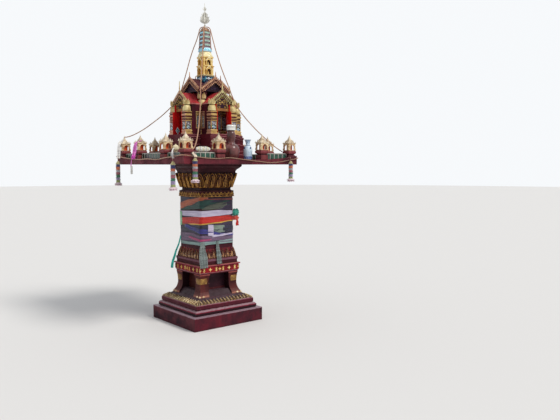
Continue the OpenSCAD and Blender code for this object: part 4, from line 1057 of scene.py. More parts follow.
def garland(length, seed):
    """One garland, from its top at the origin down to the hem of its skirt."""
    chance = random.Random(seed)
    tube = length - 0.024
    count = round(tube / 0.0054)
    parts = []
    colours = len(band_codes) - 1
    for i in range(count):
        disc = ruffled_disc(garland_reach * min(1, 0.5 + 0.17 * i) * chance.uniform(0.95, 1.02), 0.0058, 9,
            int(colours * i / count))
        disc.transform(shift(chance.uniform(-6, 6) / 1e4, chance.uniform(-6, 6) / 1e4, -0.0054 * (i + 1))
            @ Matrix.Rotation(chance.random() * 6, 4, "Z")
            @ Matrix.Rotation(chance.uniform(-0.1, 0.1), 4, "X"))
        parts.append(disc)
    for row, (reach, drop, wide) in enumerate(((0.034, -32, 0.021), (0.031, -52, 0.019),
            (0.026, -12, 0.019))):
        for j in range(11):
            petal = plate(mirrored([(x * wide / 0.024, y * reach / 0.034)
                for x, y in ((0.005, 0), (0.010, 0.012), (0.012, 0.022), (0.009, 0.030))] + [(0, reach)]), 0,
                0.0009, 0.0003, colours)
            petal.transform(Matrix.Rotation(math.tau * (j + 0.4 * row
                + chance.uniform(-0.1, 0.1)) / 11, 4, "Z")
                @ on_side(0, 0.013, -tube + 0.002 * row, drop + chance.uniform(-6, 6), 180))
            parts.append(petal)
    return gather(*parts)


def rope_above(side, share):
    """Height of the rope on the rim over the tray's floor."""
    spots = waves[side] + [waves[(side + 1) % 4][0]]
    at = (share * rim_half / rim_line_out + 1) * 4
    i = min(int(at), 7)
    return (spots[i] + (spots[i + 1] - spots[i]) * (at - i)) / 1000


strings, threads = [], []
for number, (side, share, high, length) in enumerate(garland_places):
    along = share * rim_half
    rim_top = 0.003 + 0.036 * abs(share) ** 3
    top = floor_top + max(rope_above(side, share) + 0.005, rim_top) + 0.0022
    spot = quarter_turns[side] @ shift(along, -garland_out, floor_top + high)
    hung = garland(length, number)
    hung.transform(spot)
    strings.append(hung)
    low = floor_top + high - 0.006
    loop = [(along, -garland_out, low), (along, -garland_out, low + 0.4 * (top - low)),
        (along, -garland_out + 0.004, top - 0.006), (along, -garland_out + 0.014, top), (along, -0.576, top),
        (along, -0.567, top - 0.002), (along, -0.5655, top - 0.010)]
    thread = bmesh.new()
    thread.from_mesh(laid_rope(smooth_line([quarter_turns[side] @ Vector(k) for k in loop], 0.004), 0.004,
        0.012))
    threads.append(thread)
put_in_scene("garland_flowers", gather(*strings), [flower_cloth(name, code) for name, code in band_codes],
    ["garlands"], 60)
put_in_scene("garland_threads", gather(*threads), [rope_tan], ["garlands"])

# Offerings. A brown glazed gourd bottle with a white cap, a pale blue vase with four dark bosses, and a
# cream jar stand on the tray, and a string of white flowers lies on the balustrade.
def round_profile(knots, step=0.003):
    """A smooth profile through (radius, height) knots."""
    return [(point.x, point.z) for point in smooth_line([(r, 0, h) for r, h in knots], step)]


def glazed_finish(name, code, second, roughness=0.22, speck="20100a", specks=0.72):
    """Fired glaze in two tones with dark specks."""
    finish, tree, place = new_finish(name, Roughness=roughness, Coat_Weight=0.3, Coat_Roughness=0.1,
        Specular_IOR_Level=0.35)
    colour = blend_of(tree, cloud(tree, place, 18, 5, 0.38, 0.62), code, second)
    dress(tree, blend_of(tree, cloud(tree, place, 150, 3, specks, specks + 0.05), colour, speck))
    return finish


bottle = gather(turned_form(round_profile(mm((1, 0), (40, 0), (44.5, 4), (57.5, 22), (66.5, 46), (69.5, 74),
    (65.5, 100), (52, 122), (34, 135), (28.5, 146), (30.5, 164), (35.5, 188), (36.5, 206), (33.5, 224),
    (26.5, 238), (25.5, 246), (1, 247))), 40), turned_form(
    round_profile(mm((1, 240.5), (29, 241), (31, 244), (28.5, 247.5))), 40, finish=1),
    turned_form(mm((1, 246.2), (36.5, 246.2), (38.4, 247.5), (38.4, 251), (37.2, 252.5), (37.2, 274.5),
    (38.4, 276), (38.4, 280), (36.5, 286.5), (31.5, 290.5), (20, 292), (1, 292)), 40, finish=2))
put_in_scene("bottle_glazed", moved(bottle, -0.038, -0.4447, floor_top),
    [glazed_finish("brown glaze", "6e3c3a", "42201e", 0.34),
    glazed_finish("dark brown glaze", "34161a", "200c10"),
    glazed_finish("white cap", "ecece8", "cfcfc8", 0.5, "8a8070")], ["gourd_bottle"])

vase = [turned_form(round_profile(mm((1, 0), (32.5, 0), (34.8, 4), (35.8, 30), (37.5, 60), (38.6, 80),
    (37.6, 92), (32, 108), (24, 119), (17.8, 127), (17.5, 142), (21.5, 158), (29.2, 172)))
    + round_profile(mm((26.2, 172.5), (24.5, 171.5), (16, 156), (12.5, 146), (11.8, 124), (1, 120))), 40)]
knob = bmesh.new()
bmesh.ops.create_uvsphere(knob, u_segments=12, v_segments=8, radius=0.0072)
bmesh.ops.scale(knob, vec=(0.9, 0.6, 1.4), verts=knob.verts)
vase.append(repeat(moved(in_finish(knob, 1), 0, -0.0362, 0.1015), quarter_turns))
for low, high, reach in ((0.002, 0.007, 0.0354), (0.121, 0.1245, 0.0235), (0.1685, 0.1725, 0.0294)):
    vase.append(turned_form([(reach - 0.0035, low), (reach, low + 0.0008), (reach, high - 0.0008),
        (reach - 0.0035, high)], 40, finish=1))
vase.append(turned_form(mm((34, 8), (35.9, 9), (36.8, 30), (35, 31)), 40, finish=2))
put_in_scene("vase_glazed", moved(gather(*vase), 0.121, -0.4647, floor_top),
    [glazed_finish("pale blue glaze", "cfe0ec", "9fb8d2", 0.25, "5f7fae", 0.6),
    glazed_finish("dark blue glaze", "2a3f7c", "1a2650"),
    glazed_finish("blue foot glaze", "8094c4", "4c5f9c", 0.25, "222f66", 0.55)], ["blue_vase"])

jar = gather(turned_form(round_profile(mm((1, 0), (17.2, 0), (17.8, 4), (13.8, 14), (12.8, 40), (13.6, 62),
    (17.5, 71), (26.2, 82), (28, 92), (26.2, 101))) + mm((26.2, 101.8), (27.6, 102.6), (27.6, 105.2))
    + round_profile(mm((26.2, 106), (21.2, 113), (13.5, 117.5), (7, 119), (5.8, 121.5), (6.8, 124.5),
    (3.5, 127), (1, 127))), 36), turned_form(mm((10, 35.5), (15, 36.2), (15, 39.8), (10, 40.5)), 36))
put_in_scene("jar_glazed", moved(jar, 0.046 - ring_out, -0.300, floor_top),
    [glazed_finish("cream glaze", "eadfbe", "cdb98c", 0.35, "9a7a48", 0.62)], ["cream_jar"])

chance = random.Random(7)
laid = []
for i in range(22):
    share = i / 21
    disc = ruffled_disc(0.0235 * (1 - 0.4 * abs(2 * share - 1) ** 4) * chance.uniform(0.76, 1.04), 0.0072, 8,
        i % 7 == 3)
    disc.transform(shift(-0.3764 + 0.124 * (share - 0.5), -ring_out + chance.uniform(-2, 2) / 1e3, 1.5222)
        @ turn_by(90, "Y") @ Matrix.Rotation(chance.random() * 6, 4, "Z")
        @ Matrix.Rotation(chance.uniform(-0.2, 0.2), 4, "X"))
    laid.append(disc)
put_in_scene("laid_flowers", gather(*laid), [flower_cloth("white", "efece4"),
    flower_cloth("pale yellow", "e6d88c")], ["laid_garland"], 60)

# Chapel base and walls. Seven courses of maroon cast concrete, worn pale on their edges, carry porch
# walls that are bright red inside, with a glazed diamond at the foot of each.
porch_floor, eave_level, upper_level = 1.661, 1.915, 2.033
course_tops = [floor_top + (porch_floor - floor_top) * share
    for share in (0.22, 0.30, 0.36, 0.62, 0.84, 0.92, 1.0)]
base_paint = painted_cast("chapel maroon", "6c1a28", "401019", dust_and_sheen=0.75,
    bands=[(top - 0.0045, top + 0.0005, 0.0008, "a3686c") for top in course_tops])
# Its faces along x are painted darker: painted shade.
coat(painted_over(base_paint, x_facing_painted_light, "5a1420"), "chapel_base")
wall_paint = painted_cast("wall maroon", "4c0f1e", "2c0911", dust_and_sheen=0.4)
coat(painted_over(wall_paint, looks_inward, "b01218"), "porch_walls")
coat(painted_cast("upper body maroon", "3c0c1a", "24070f", dust_and_sheen=0.4), "upper_body")


def mirror_finish(name, code, second, roughness=0.14):
    """Small pieces of silvered coloured glass, each a little different from its neighbours."""
    finish, tree, place = new_finish(name + " mirror", Metallic=0.55, Roughness=roughness, Coat_Weight=0.4,
        Coat_Roughness=0.05)
    cells = shade(tree, "TexVoronoi", {"Vector": place, "Scale": 120}).outputs["Color"]
    dress(tree, blend_of(tree, shade(tree, "SeparateXYZ", {0: cells}).outputs["X"], code, second))
    return finish


mosaic = [mirror_finish(*look) for look in (("white", "f4f6f8", "cfdbe2"), ("teal", "3f8fa8", "17506a"),
    ("green", "1d6a52", "0c3a30"), ("grey", "a9a3a6", "6c6a74", 0.22), ("dark blue", "1f3560", "0b1830"))]


def tile(width, height, x, y, finish, thick=0.0012, base=-0.0006):
    """A small flat tile with a bevelled edge, its middle at x and y."""
    w, h = width / 2, height / 2
    return plate([(x - w, y - h), (x + w, y - h), (x + w, y + h), (x - w, y + h)], base, thick,
        min(w, h) * 0.25, finish, sink=-0.0003)


def diamond(width, height, x, y, finish, thick=0.0012, base=-0.0006):
    w, h = width / 2, height / 2
    return plate([(x, y - h), (x + w, y), (x, y + h), (x - w, y)], base, thick, min(w, h) * 0.18, finish,
        sink=-0.0003)


def bordered_diamond(width, height, y):
    """White border, teal heart and a small white middle."""
    return gather(diamond(width, height, 0, y, 0), diamond(width * 0.7, height * 0.7, 0, y, 1, 0.0018, 0.0008),
        diamond(width * 0.24, height * 0.24, 0, y, 0, 0.0024, 0.0014))


def porch_sides(x, y, outwards):
    """Places on the side walls of the porches, at |x|, for motifs that face outwards (1) or inwards (-1)."""
    return [turn @ shift(side * x, y, porch_floor)
        @ Matrix.Rotation(math.radians(90 * side * outwards), 4, "Z") @ on_side(0, 0, 0)
        for turn in quarter_turns for side in (-1, 1)]


def both_hands(form):
    """A form and its mirror image across the middle."""
    twin = form.copy()
    twin.transform(Matrix.Scale(-1, 4, (1, 0, 0)))
    bmesh.ops.reverse_faces(twin, faces=twin.faces)
    return gather(form, twin)


lining_red = painted_cast("lining red", "ea1f1b", "b81216", chip="5a0c0c", pale_dust_and_sheen="d08a80", dust_and_sheen=0.3)
lining = plate(mm((-34.5, 0), (34.5, 0), (34.5, 254), (-14.5, 254), (-14.5, 196), (-34.5, 196)), -0.0014,
    0.0008, 0.0005, sink=-0.0002)
lining.transform(shift(-0.0700, -0.260, porch_floor) @ turn_by(90) @ on_side(0, 0, 0))
put_in_scene("porch_linings", repeat(both_hands(lining), quarter_turns), [lining_red])
put_in_scene("wall_diamonds", repeat(bordered_diamond(0.042, 0.066, 0.036), porch_sides(0.0692, -0.248, -1)),
    [glazed_finish("diamond white", "eef2f0", "cdd6d8", 0.3),
    glazed_finish("diamond teal", "5fb0c0", "2f7c90", 0.3)])

# Columns and pillars. Each has a stepped gilded foot, a band of mirrored diamonds, a band of small
# grey mirrors, rings of gold and pink, and a rounded bell capital with flames on the outer faces.
column_gold = gilded("column gold", "d4b26c", "9c7844", "5c1c22", 0.3, 0.6)
# Faces along x are painted pinkish: painted shade on the shaded side.
painted_over(column_gold, x_facing_painted_light, "c99078")
column_maroon = painted_cast("column maroon", "4a1020", "2a0811", dust_and_sheen=0.2)
bell_gold = gilded("pale bell gold", "ded09a", "b49a62", "6a4028", 0.2, 0.64, (0.4, 0.65))


def ring_form(half, low, high, soft=0.0012):
    """Square ring with softened edges."""
    return turned_form([(half - 0.006, low), (half - soft, low), (half, low + soft), (half, high - soft),
        (half - soft, high), (half - 0.006, high)])


def column_form(half, height):
    """Column of half-width half. Finishes: gold, maroon, then the mosaic's."""
    shaft = half - 0.007
    parts = [turned_form([(0.002, 0), (half, 0), (half, 0.0105), (half - 0.0015, 0.012),
        (half - 0.005, 0.0155), (half - 0.005, 0.0225), (half - 0.002, 0.0255), (half - 0.002, 0.0335),
        (half - 0.0035, 0.0355), (shaft, 0.0395), (0.002, 0.0395)]),
        turned_form([(0.002, 0.038), (shaft - 0.0006, 0.038), (shaft - 0.0006, height), (0.002, height)],
        finish=1), ring_form(half - 0.0025, height - 0.0115, height - 0.0045),
        ring_form(half - 0.003, height - 0.0425, height - 0.0225, 0.003),
        ring_form(half - 0.003, height - 0.0615, height - 0.0545),
        ring_form(half - 0.003, height - 0.0865, height - 0.0795),
        ring_form(half - 0.0045, height - 0.071, height - 0.0675, 0.0008)]
    face = [tile(0.005, height - 0.134, side * (shaft - 0.003), (height - 0.048) / 2, 0) for side in (-1, 1)]
    wide = 2 * shaft - 0.014
    top = height - 0.0925
    rows = max(3, round((top - 0.074) / 0.0095))
    for row in range(rows):
        for column in range(5):
            kind = 5 if (row * 3 + column * 2) % 7 else 2
            face.append(tile(wide / 5 - 0.0014, 0.0081, wide * ((column + 0.5) / 5 - 0.5),
                top - 0.0048 - (top - 0.074) / rows * row, kind))
    for side in (-1, 1):
        for up in (-1, 1):
            face.append(plate([(side * wide * 0.5, 0.056 + up * 0.0145),
                (side * wide * 0.5, 0.056 + up * 0.003), (side * wide * 0.1, 0.056 + up * 0.0145)], -0.0006,
                0.001, 0.0006, 4 if up > 0 else 6, sink=-0.0002))
    face += [diamond(wide * 0.92, 0.029, 0, 0.056, 2),
        diamond(wide * 0.62, 0.0195, 0, 0.056, 3, 0.0018, 0.0008),
        diamond(wide * 0.2, 0.0065, 0, 0.056, 2, 0.0024, 0.0014)]
    for share in (-0.36, -0.12, 0.12, 0.36):
        face.append(moved(boss(0.0028, 0.0035, 0.6), share * 2 * shaft, height - 0.0325))
    parts.append(on_faces(gather(*face), shaft, 0))
    return gather(*parts)


def soft_square(profile, power=5.0, sides=32, finish=0):
    """Solid turned from a profile of half-width and height, on a square with rounded corners."""
    spokes = [(math.cos(math.tau * (i + 0.5) / sides), math.sin(math.tau * (i + 0.5) / sides))
        for i in range(sides)]
    rings = []
    for half, height in profile:
        reaches = [half * (abs(x) ** power + abs(y) ** power) ** (-1 / power) for x, y in spokes]
        rings.append([(reach * x, reach * y, height) for reach, (x, y) in zip(reaches, spokes)])
    return skinned(rings, finish)


def bell_form(half, height):
    """Bell capital: a beaded foot, a round bell with leaf reliefs, a dark neck and a seat plate."""
    profile = [(0.002, 0.001), (half - 0.003, 0.001), (half - 0.0015, 0.003), (half - 0.001, height * 0.2)]
    for i in range(9):
        angle = math.radians(90 * i / 8)
        profile.append((0.55 * half + (0.45 * half - 0.001) * math.cos(angle),
            height * 0.3 + (height * 0.7 - 0.009) * math.sin(angle)))
    parts = [soft_square(profile + [(0.002, height - 0.009)], 2.15),
        soft_square([(0.002, height - 0.0095), (half * 0.56, height - 0.0095), (half * 0.5, height - 0.004),
        (0.002, height - 0.004)], 2, finish=1), soft_square(
        [(0.002, height - 0.0045), (half * 0.7, height - 0.0045), (half * 0.76, height - 0.003),
        (half * 0.74, height), (0.002, height)], 2),
        soft_square([(half - 0.006, 0.0), (half, 0.0008), (half, 0.0045), (half - 0.004, 0.0058)], 2.15)]
    rib = moved(plate(mirrored(leaf_side(half * 0.42, height * 0.5, 5)), -0.001, 0.0011, 0.0014, sink=0.0008),
        0, 0.007)
    parts.append(repeat(rib, [turn_by(45 * k) @ on_side(0, half - 0.0014, 0, -2) for k in range(8)]))
    return gather(*parts)


def crown_places(middle, side_x, side_y, radius):
    """Places of three flames on the outer half of a capital: towards x, the diagonal and y."""
    heading = math.degrees(math.atan2(side_x, -side_y))
    return [middle @ turn_by(heading + turn) @ on_side(0, radius, 0, 6) for turn in (-45, 0, 45)]


def tongue_side(width, height):
    """Right half of a flame of three tongues on a solid foot."""
    return [(width * x, height * y) for x, y in ((0.38, 0.0), (0.46, 0.10), (0.5, 0.24), (0.48, 0.40),
        (0.41, 0.56), (0.37, 0.73), (0.28, 0.58), (0.21, 0.46), (0.17, 0.50), (0.17, 0.64), (0.11, 0.80))] + [
        (0, height)]


def flame_plate(width, height, thick):
    outer = plate(mirrored(tongue_side(width, height)), 0, thick, width * 0.035, sink=thick * 0.16)
    heart = plate(mirrored([(x, y + height * 0.05) for x, y in leaf_side(width * 0.34, height * 0.62, 6)]), 0,
        thick * 1.12, width * 0.04, sink=thick * 0.2)
    eyes = [moved(boss(width * 0.06, thick * 0.8, 0.6), side * width * 0.28, height * 0.24)
        for side in (-1, 1)]
    return gather(outer, heart, *eyes)


column_at, porch_out, column_high, bell_high = 0.105, 0.260, 0.196, 0.058
columns = [turn @ shift(side * column_at, -porch_out, porch_floor) for turn in quarter_turns
    for side in (-1, 1)]
put_in_scene("porch_columns_dressed", repeat(column_form(0.035, column_high), columns),
    [column_gold, column_maroon] + mosaic, ["porch_columns"])
outer_faces = [place for turn in quarter_turns for side in (-1, 1)
    for place in crown_places(turn @ shift(side * column_at, -porch_out, eave_level - 0.0006), side, -1,
    0.0215)]
capitals = gather(repeat(bell_form(0.0345, bell_high), [spot @ shift(0, 0, column_high) for spot in columns]),
    repeat(flame_plate(0.036, 0.046, 0.0045), outer_faces))
put_in_scene("column_bells", capitals, [bell_gold, column_maroon], ["column_capitals"])

bell_low = upper_level - 0.061 - bell_high
pillar_spots = [(x, y) for x in (-column_at, column_at) for y in (-column_at, column_at)]
pillars = [shift(x, y, 0) for x, y in pillar_spots]
leaf_faces = [place for x, y in pillar_spots for place in crown_places(shift(x, y, upper_level - 0.0615), x, y,
    0.027)]
pillar_parts = gather(repeat(column_form(0.036, bell_low - porch_floor),
    [spot @ shift(0, 0, porch_floor) for spot in pillars]),
    repeat(box_form(0.062, 0.062, 0.0615, (0, 0, upper_level - 0.0618), 1), pillars))
put_in_scene("body_pillars_dressed", pillar_parts, [column_gold, column_maroon] + mosaic,
    ["body_pillars"])
bells = gather(repeat(bell_form(0.036, bell_high), [spot @ shift(0, 0, bell_low) for spot in pillars]),
    repeat(flame_plate(0.042, 0.056, 0.0045), leaf_faces))
put_in_scene("pillar_bells", bells, [bell_gold, column_maroon], ["body_pillars"])

# Pilaster on the outside of each porch wall: a mosaic strip between gold edges, under three rings.
pilaster = [tile(0.044, 0.0062, 0, height, 0, 0.004) for height in (0.054, 0.1655, 0.178, 0.1915)]
pilaster += [tile(0.0055, 0.104, side * 0.0165, 0.1075, 0, 0.0018) for side in (-1, 1)]
pilaster += [tile(0.0078, 0.0082, 0.0090 * (column - 1), 0.064 + 0.0097 * row,
    (5, 2, 5, 4)[(row * 3 + column * 2) % 4]) for row in range(10) for column in range(3)]
put_in_scene("porch_pilasters", repeat(gather(*pilaster), porch_sides(0.1322, -0.165, 1)),
    [column_gold, column_maroon] + mosaic)

# Ribbons. Offered strips of cloth hang from a corner lantern and the next one, from the cream jar and
# from the end of the front stay. The pink one is gathered in a bow over the rim and ends in a string of
# white flowers.
pale_cloth = sheer_cloth("pale grey", "efedea", "c4c0c0")
pink_cloth = sheer_cloth("pink", "f090dc", "c861b4", 0.92)
hanging_tail("ribbon_white", pale_cloth, smooth_line(
    mm((-541.5, 531, 1629), (-556, 529, 1608), (-579, 525, 1590), (-587, 521, 1562), (-593, 515, 1515),
    (-599, 508, 1478), (-603, 504, 1454)), 0.008), 0.034, -45, 41, 2)
hanging_tail("ribbon_pink", pink_cloth, smooth_line(
    mm((-530.7, 196, 1609), (-552, 194, 1601), (-579, 199, 1589), (-587, 205, 1560), (-590, 213, 1515),
    (-593, 220, 1485), (-596, 224, 1466)), 0.008), 0.032, -45, 42, 2)
crumpled_knot("bow_magenta", sheer_cloth("magenta", "e44cc6", "b0309c"), (-0.6000, 0.2240, 1.4640),
    (0.015, 0.024, 0.022), 12)
hanging_tail("ribbon_pink_tail", pink_cloth, smooth_line(
    mm((-608, 225, 1458), (-611, 227, 1435), (-611, 233, 1408), (-611, 236, 1386)), 0.006), 0.010, -90, 43, 1)
pendant = [moved(ruffled_disc(0.0105, 0.0095, 7), -0.6110, 0.2370, 1.3780 - 0.0098 * i) for i in range(7)]
put_in_scene("white_pendant", gather(*pendant), [flower_cloth("white", "eeece6")])
hanging_tail("ribbon_grey", pale_cloth, smooth_line(
    mm((-515, -328, 1533), (-536, -345, 1523), (-562, -380, 1496), (-583, -420, 1472), (-595, -448, 1460),
    (-601, -460, 1448)), 0.008), 0.017, -45, 44, 1)
hanging_tail("ribbon_cream", sheer_cloth("cream", "ece0cc", "cdb8a4"),
    smooth_line(mm((-485.8, -533, 1519), (-486.2, -545, 1506), (-486.6, -560, 1490), (-487.5, -576, 1478.5),
    (-488.5, -589, 1475), (-490, -599, 1466), (-492, -606, 1456)), 0.008), 0.028, 0, 45, 2)

# Roofs. Cast roofs with rows of scale tiles, painted bright red on the porches and dark maroon above,
# with painted shade under the eaves, and pinkish ridges and edges.
def looks_down(tree):
    """1 on undersides, which the roofs paint dark as painted shade."""
    return stretched(tree, facing(tree, "Z"), -0.1, -0.4)


roof_red = painted_cast("roof red", "c4151a", "980f17", chip="5a0c10", pale_dust_and_sheen="d0868a", dust_and_sheen=0.3,
    roughness=(0.3, 0.5))
coat(painted_over(roof_red, looks_down, "300812"), "lower_roofs")
deep_red = painted_cast("upper roof maroon", "48131f", "2c0a16", chip="3a0c10", pale_dust_and_sheen="8a5a60", dust_and_sheen=0.25)
coat(painted_over(deep_red, looks_down, "26070f"), "upper_roof")
roof_pink = painted_cast("roof edge pink", "d08c86", "a8605e", pale_dust_and_sheen="d8b0a8", dust_and_sheen=0.4)


def roof_run(half, rise, thick=0.009):
    """Slope of a roof in degrees, length of its slope and height of its thickness over the eave."""
    long = math.hypot(half, rise)
    return math.degrees(math.atan2(rise, half)), long, thick * long / half + 0.0003


def scale_tiles(half, rise, eave, near, far):
    """Places of the scale tiles on both slopes of the four arms, from near or the next arm to far."""
    slope, long, over = roof_run(half, rise)
    lean, step, row_step = slope - 90, 0.0162, 0.0152
    places = []
    for row in range(int((long - 0.006) / row_step)):
        up = 0.003 + row * row_step
        out = half - up * math.cos(math.radians(slope))
        height = eave + over + up * math.sin(math.radians(slope)) - 0.0004
        start = max(out + 0.002, near)
        count = int((far - start) / step)
        for i in range(count):
            along = far - (i + 0.5 + 0.5 * (row % 2)) * step
            if along - step * 0.4 > start:
                places += [on_side(side * along, out, height, lean) for side in (-1, 1)]
    return all_sides(places)


def edge_bars(half, rise, eave, near, far):
    """Ridge bars and eave bars of the four arms."""
    over = roof_run(half, rise)[2]
    bars = []
    for start, out, height, wide, high in ((near, 0.0, eave + over + rise - 0.002, 0.012, 0.009),
            (max(half + 0.002, near), half - 0.002, eave + over - 0.0055, 0.008, 0.010)):
        bars += [moved(bar(far - start, high, wide, 0.0028), side * (far + start) / 2, -out, height)
            for side in (-1, 1)]
    return repeat(gather(*bars), quarter_turns)


# Half-width, rise and eave of each roof, and how far out its arms start and end.
lower_roof = 0.126, 0.098, eave_level, 0.1415
upper_roof = 0.146, 0.105, upper_level, 0.062
upper_out = 0.158
for name, roof, far, paint in (("lower_roof_tiles", lower_roof, porch_out, roof_red),
        ("upper_roof_tiles", upper_roof, upper_out, deep_red)):
    scale = plate(mirrored(mm((3.8, 0), (6.8, 3), (7.8, 7.5), (7.8, 16.5))), -0.0008, 0.0013, 0.0009,
        sink=-0.0002)
    put_in_scene(name, repeat(scale, scale_tiles(*roof, far - 0.0006)), [paint])
put_in_scene("roof_edges", gather(edge_bars(*lower_roof, porch_out - 0.0008),
    edge_bars(*upper_roof, upper_out - 0.0008)), [roof_pink])

# Beams, gable ends and gables. A gold-brown beam under gold scrollwork closes each porch; the upper
# gable ends are dark with a bluish relief. Toothed boards end in curls, with a horn on each apex.
coat(painted_cast("beam gold brown", "a8763e", "70452a", dust_and_sheen=0.3), "porch_beams")
coat(painted_cast("gable end dark", "2c0b20", "180611", dust_and_sheen=0.2), "tympana")


def scrollwork(curls, star_size, star_up):
    """Mirrored curls (size, x, y, turn, hand) round a star on the middle line."""
    half = gather(*[moved(scroll(size, 0.0012, hand), x, y, 0, turn) for size, x, y, turn, hand in curls])
    middle = gather(moved(plate(star(4, star_size, star_size * 0.34, 90), -0.001, 0.0024, star_size * 0.08), 0,
        star_up), moved(boss(star_size * 0.22, 0.0026), 0, star_up))
    return gather(both_hands(half), middle)


filigree_gold = gilded("filigree gold", "d9b45e", "9c7434", "4a1a18", 0.35, 0.6)
lower_scrolls = scrollwork([(0.0125, 0.022, 0.006, 40, 1), (0.0115, 0.049, -0.002, 160, -1),
    (0.0105, 0.026, 0.033, 200, -1), (0.0085, 0.047, 0.022, 20, 1), (0.0085, 0.009, 0.058, 120, 1),
    (0.010, 0.054, -0.020, 200, 1), (0.010, 0.028, -0.019, 20, -1), (0.0075, 0.075, 0.010, 60, 1)], 0.014,
    0.020)
lower_ends = on_faces(lower_scrolls, porch_out - 0.0003, eave_level)
put_in_scene("gable_filigree", lower_ends, [filigree_gold])
blue_relief = painted_cast("bluish relief", "4c4260", "2c1c38", dust_and_sheen=0.15)
upper_scrolls = scrollwork([(0.015, 0.032, 0.026, 40, 1), (0.013, 0.066, 0.016, 160, -1),
    (0.011, 0.098, 0.012, 30, 1), (0.010, 0.020, 0.056, 200, -1)], 0.016, 0.028)
put_in_scene("upper_gable_relief", on_faces(upper_scrolls, 0.147, upper_level), [blue_relief])


def gable_form(half, rise, far, horn, deep=0.027, pitch=0.0165):
    """Two dark boards with gold edges, leaf teeth and slanted leaves, a curl at each end and a horn on top."""
    slope = math.atan2(rise, half)
    long = far / math.cos(slope)
    top = rise + 0.009 * math.hypot(half, rise) / half + 0.003
    thick, cut = 0.0098, math.tan(slope)
    parts = [plate([(0, 0), (long, 0), (long, -deep), (deep * cut, -deep)], 0, thick - 0.004, 0.001, 1,
        sink=-0.0004), plate([(0, 0.0004), (long, 0.0004), (long, -0.0042), (0.0042 * cut, -0.0042)], 0,
        thick - 0.0012, 0.0012, sink=-0.0006), plate(
        [((deep - 0.004) * cut, 0.004 - deep), (long, 0.004 - deep), (long, -deep), (deep * cut, -deep)], 0,
        thick - 0.0012, 0.0012, sink=-0.0006)]
    tooth = mm((-6.2, -1), (5.6, -1), (5.2, 5), (1.6, 10.5), (-4.5, 16.5), (-3.5, 9), (-8.2, 11), (-7.2, 5))
    slant = mm((0, -6), (3, -1.5), (1.8, 4), (-3, 7.5), (-3.2, 0))
    for i in range(int(long / pitch)):
        at = long * (i + 0.6) / int(long / pitch)
        parts.append(moved(plate(tooth, 0.0012, thick - 0.0012, 0.0012, sink=0.0006), at))
        if at > deep * cut and at < long - 0.012:
            parts.append(moved(plate(slant, thick - 0.006, thick - 0.0012, 0.0008, sink=0.0004), at,
                -deep * 0.5))
            parts.append(moved(plate(mm((4.8, 0), (-4.8, 0), (-3.6, -4.5), (0.6, -9.5), (3.6, -4.5)), 0.002,
                thick - 0.003, 0.0008, sink=0.0005), at, 0.0012 - deep))
    curl = scroll(0.0115, 0, -1, 1.2)
    curl.transform(Matrix.Scale(2.6, 4, (0, 0, 1)))
    parts.append(moved(curl, long - 0.006, -deep * 0.62, thick * 0.5))
    for spin, size in ((-38, 0.020), (-64, 0.017), (-12, 0.016)):
        parts.append(moved(plate(mirrored([(0.0042, 0), (0.0046, size * 0.4), (0.0026, size * 0.75),
            (0, size)]), 0.0015, thick - 0.0015, 0.001, sink=0.0005), long - 0.008, -deep * 0.35, 0,
            spin + math.degrees(slope)))
    right = gather(*parts)
    right.transform(shift(0, top, 0) @ Matrix.Rotation(-slope, 4, "Z"))
    crest = plate(mirrored([(0.0085, 0), (0.009, 0.010), (0.0048, horn * 0.2), (0.0062, horn * 0.34),
        (0.0030, horn * 0.55), (0.0022, horn * 0.8), (0, horn)]), 0.002, 0.0078, 0.0012, sink=0.0006)
    knob = moved(boss(0.0065, 0.0085, 0.55), 0, top - deep * 0.5)
    return gather(both_hands(right), moved(crest, 0, top - 0.004), knob)


board_gilt = gilded("gable board gilt", "cfc490", "98925c", "6a2a26", 0.2, 0.58, (0.45, 0.7))
# The boards' faces along x are painted pinkish: painted shade.
painted_over(board_gilt, x_facing_painted_light, "c8967c")
upper_gilt = gilded("upper board gilt", "cda07c", "9c6c54", "5c1c22", 0.2, 0.56, (0.45, 0.7))
board_maroon = painted_cast("board maroon", "4e1220", "2e0a14", dust_and_sheen=0.1)
lower_gables = on_faces(gable_form(*lower_roof[:2], 0.108, 0.096), porch_out + 0.0001, eave_level)
put_in_scene("lower_gables", lower_gables, [board_gilt, board_maroon], ["gable_boards"])
upper_gables = on_faces(gable_form(*upper_roof[:2], 0.146, 0.058), upper_out + 0.0001, upper_level)
put_in_scene("upper_gables", upper_gables, [upper_gilt, board_maroon], ["gable_boards"])

# Spire. A mirrored block carries two gold niche tiers, a curved cream roof, five mirrored tiers over a
# pale blue hem, a brown arched cap and a silver finial of pierced leaves.
drum_top, tier_two, stack_low, cap_low = 2.190, 2.272, 2.397, 2.574
drum_half, drum_mid = 0.054, 2.1585
drum_paint = painted_cast("drum dark blue", "16283e", "0c1626", dust_and_sheen=0.2,
    bands=[(2.1775, 2.1905, 0.0006, "b8a884")])
coat(drum_paint, "spire_drum")
drum_tiles = []
for row in range(5):
    for column in range(7):
        x, height = 0.0152 * (column - 3), 2.1655 - 0.0152 * row
        if not (row < 2 and column in (2, 3, 4)):
            drum_tiles.append(tile(0.0138, 0.0138, x, height, 1 if (row + column) % 3 else 4, 0.0016))
drum_tiles += [diamond(0.034, 0.026, 0, drum_mid, 0, 0.0022),
    diamond(0.014, 0.011, 0, drum_mid, 4, 0.003, 0.0016)]
drum_tiles += [diamond(0.010, 0.013, side * 0.0235, drum_mid, 0, 0.0022) for side in (-1, 1)]
put_in_scene("drum_mirrors", on_faces(gather(*drum_tiles), drum_half, 0), mosaic)

tier_gold = gilded("tier gold", "ecd48e", "c79b48", "6a4a1c", 0.35, 0.62)
# The tiers' faces along x are painted a deeper gold: painted shade.
painted_over(tier_gold, x_facing_painted_light, "d09a3c")
coat(tier_gold, "spire_tiers")
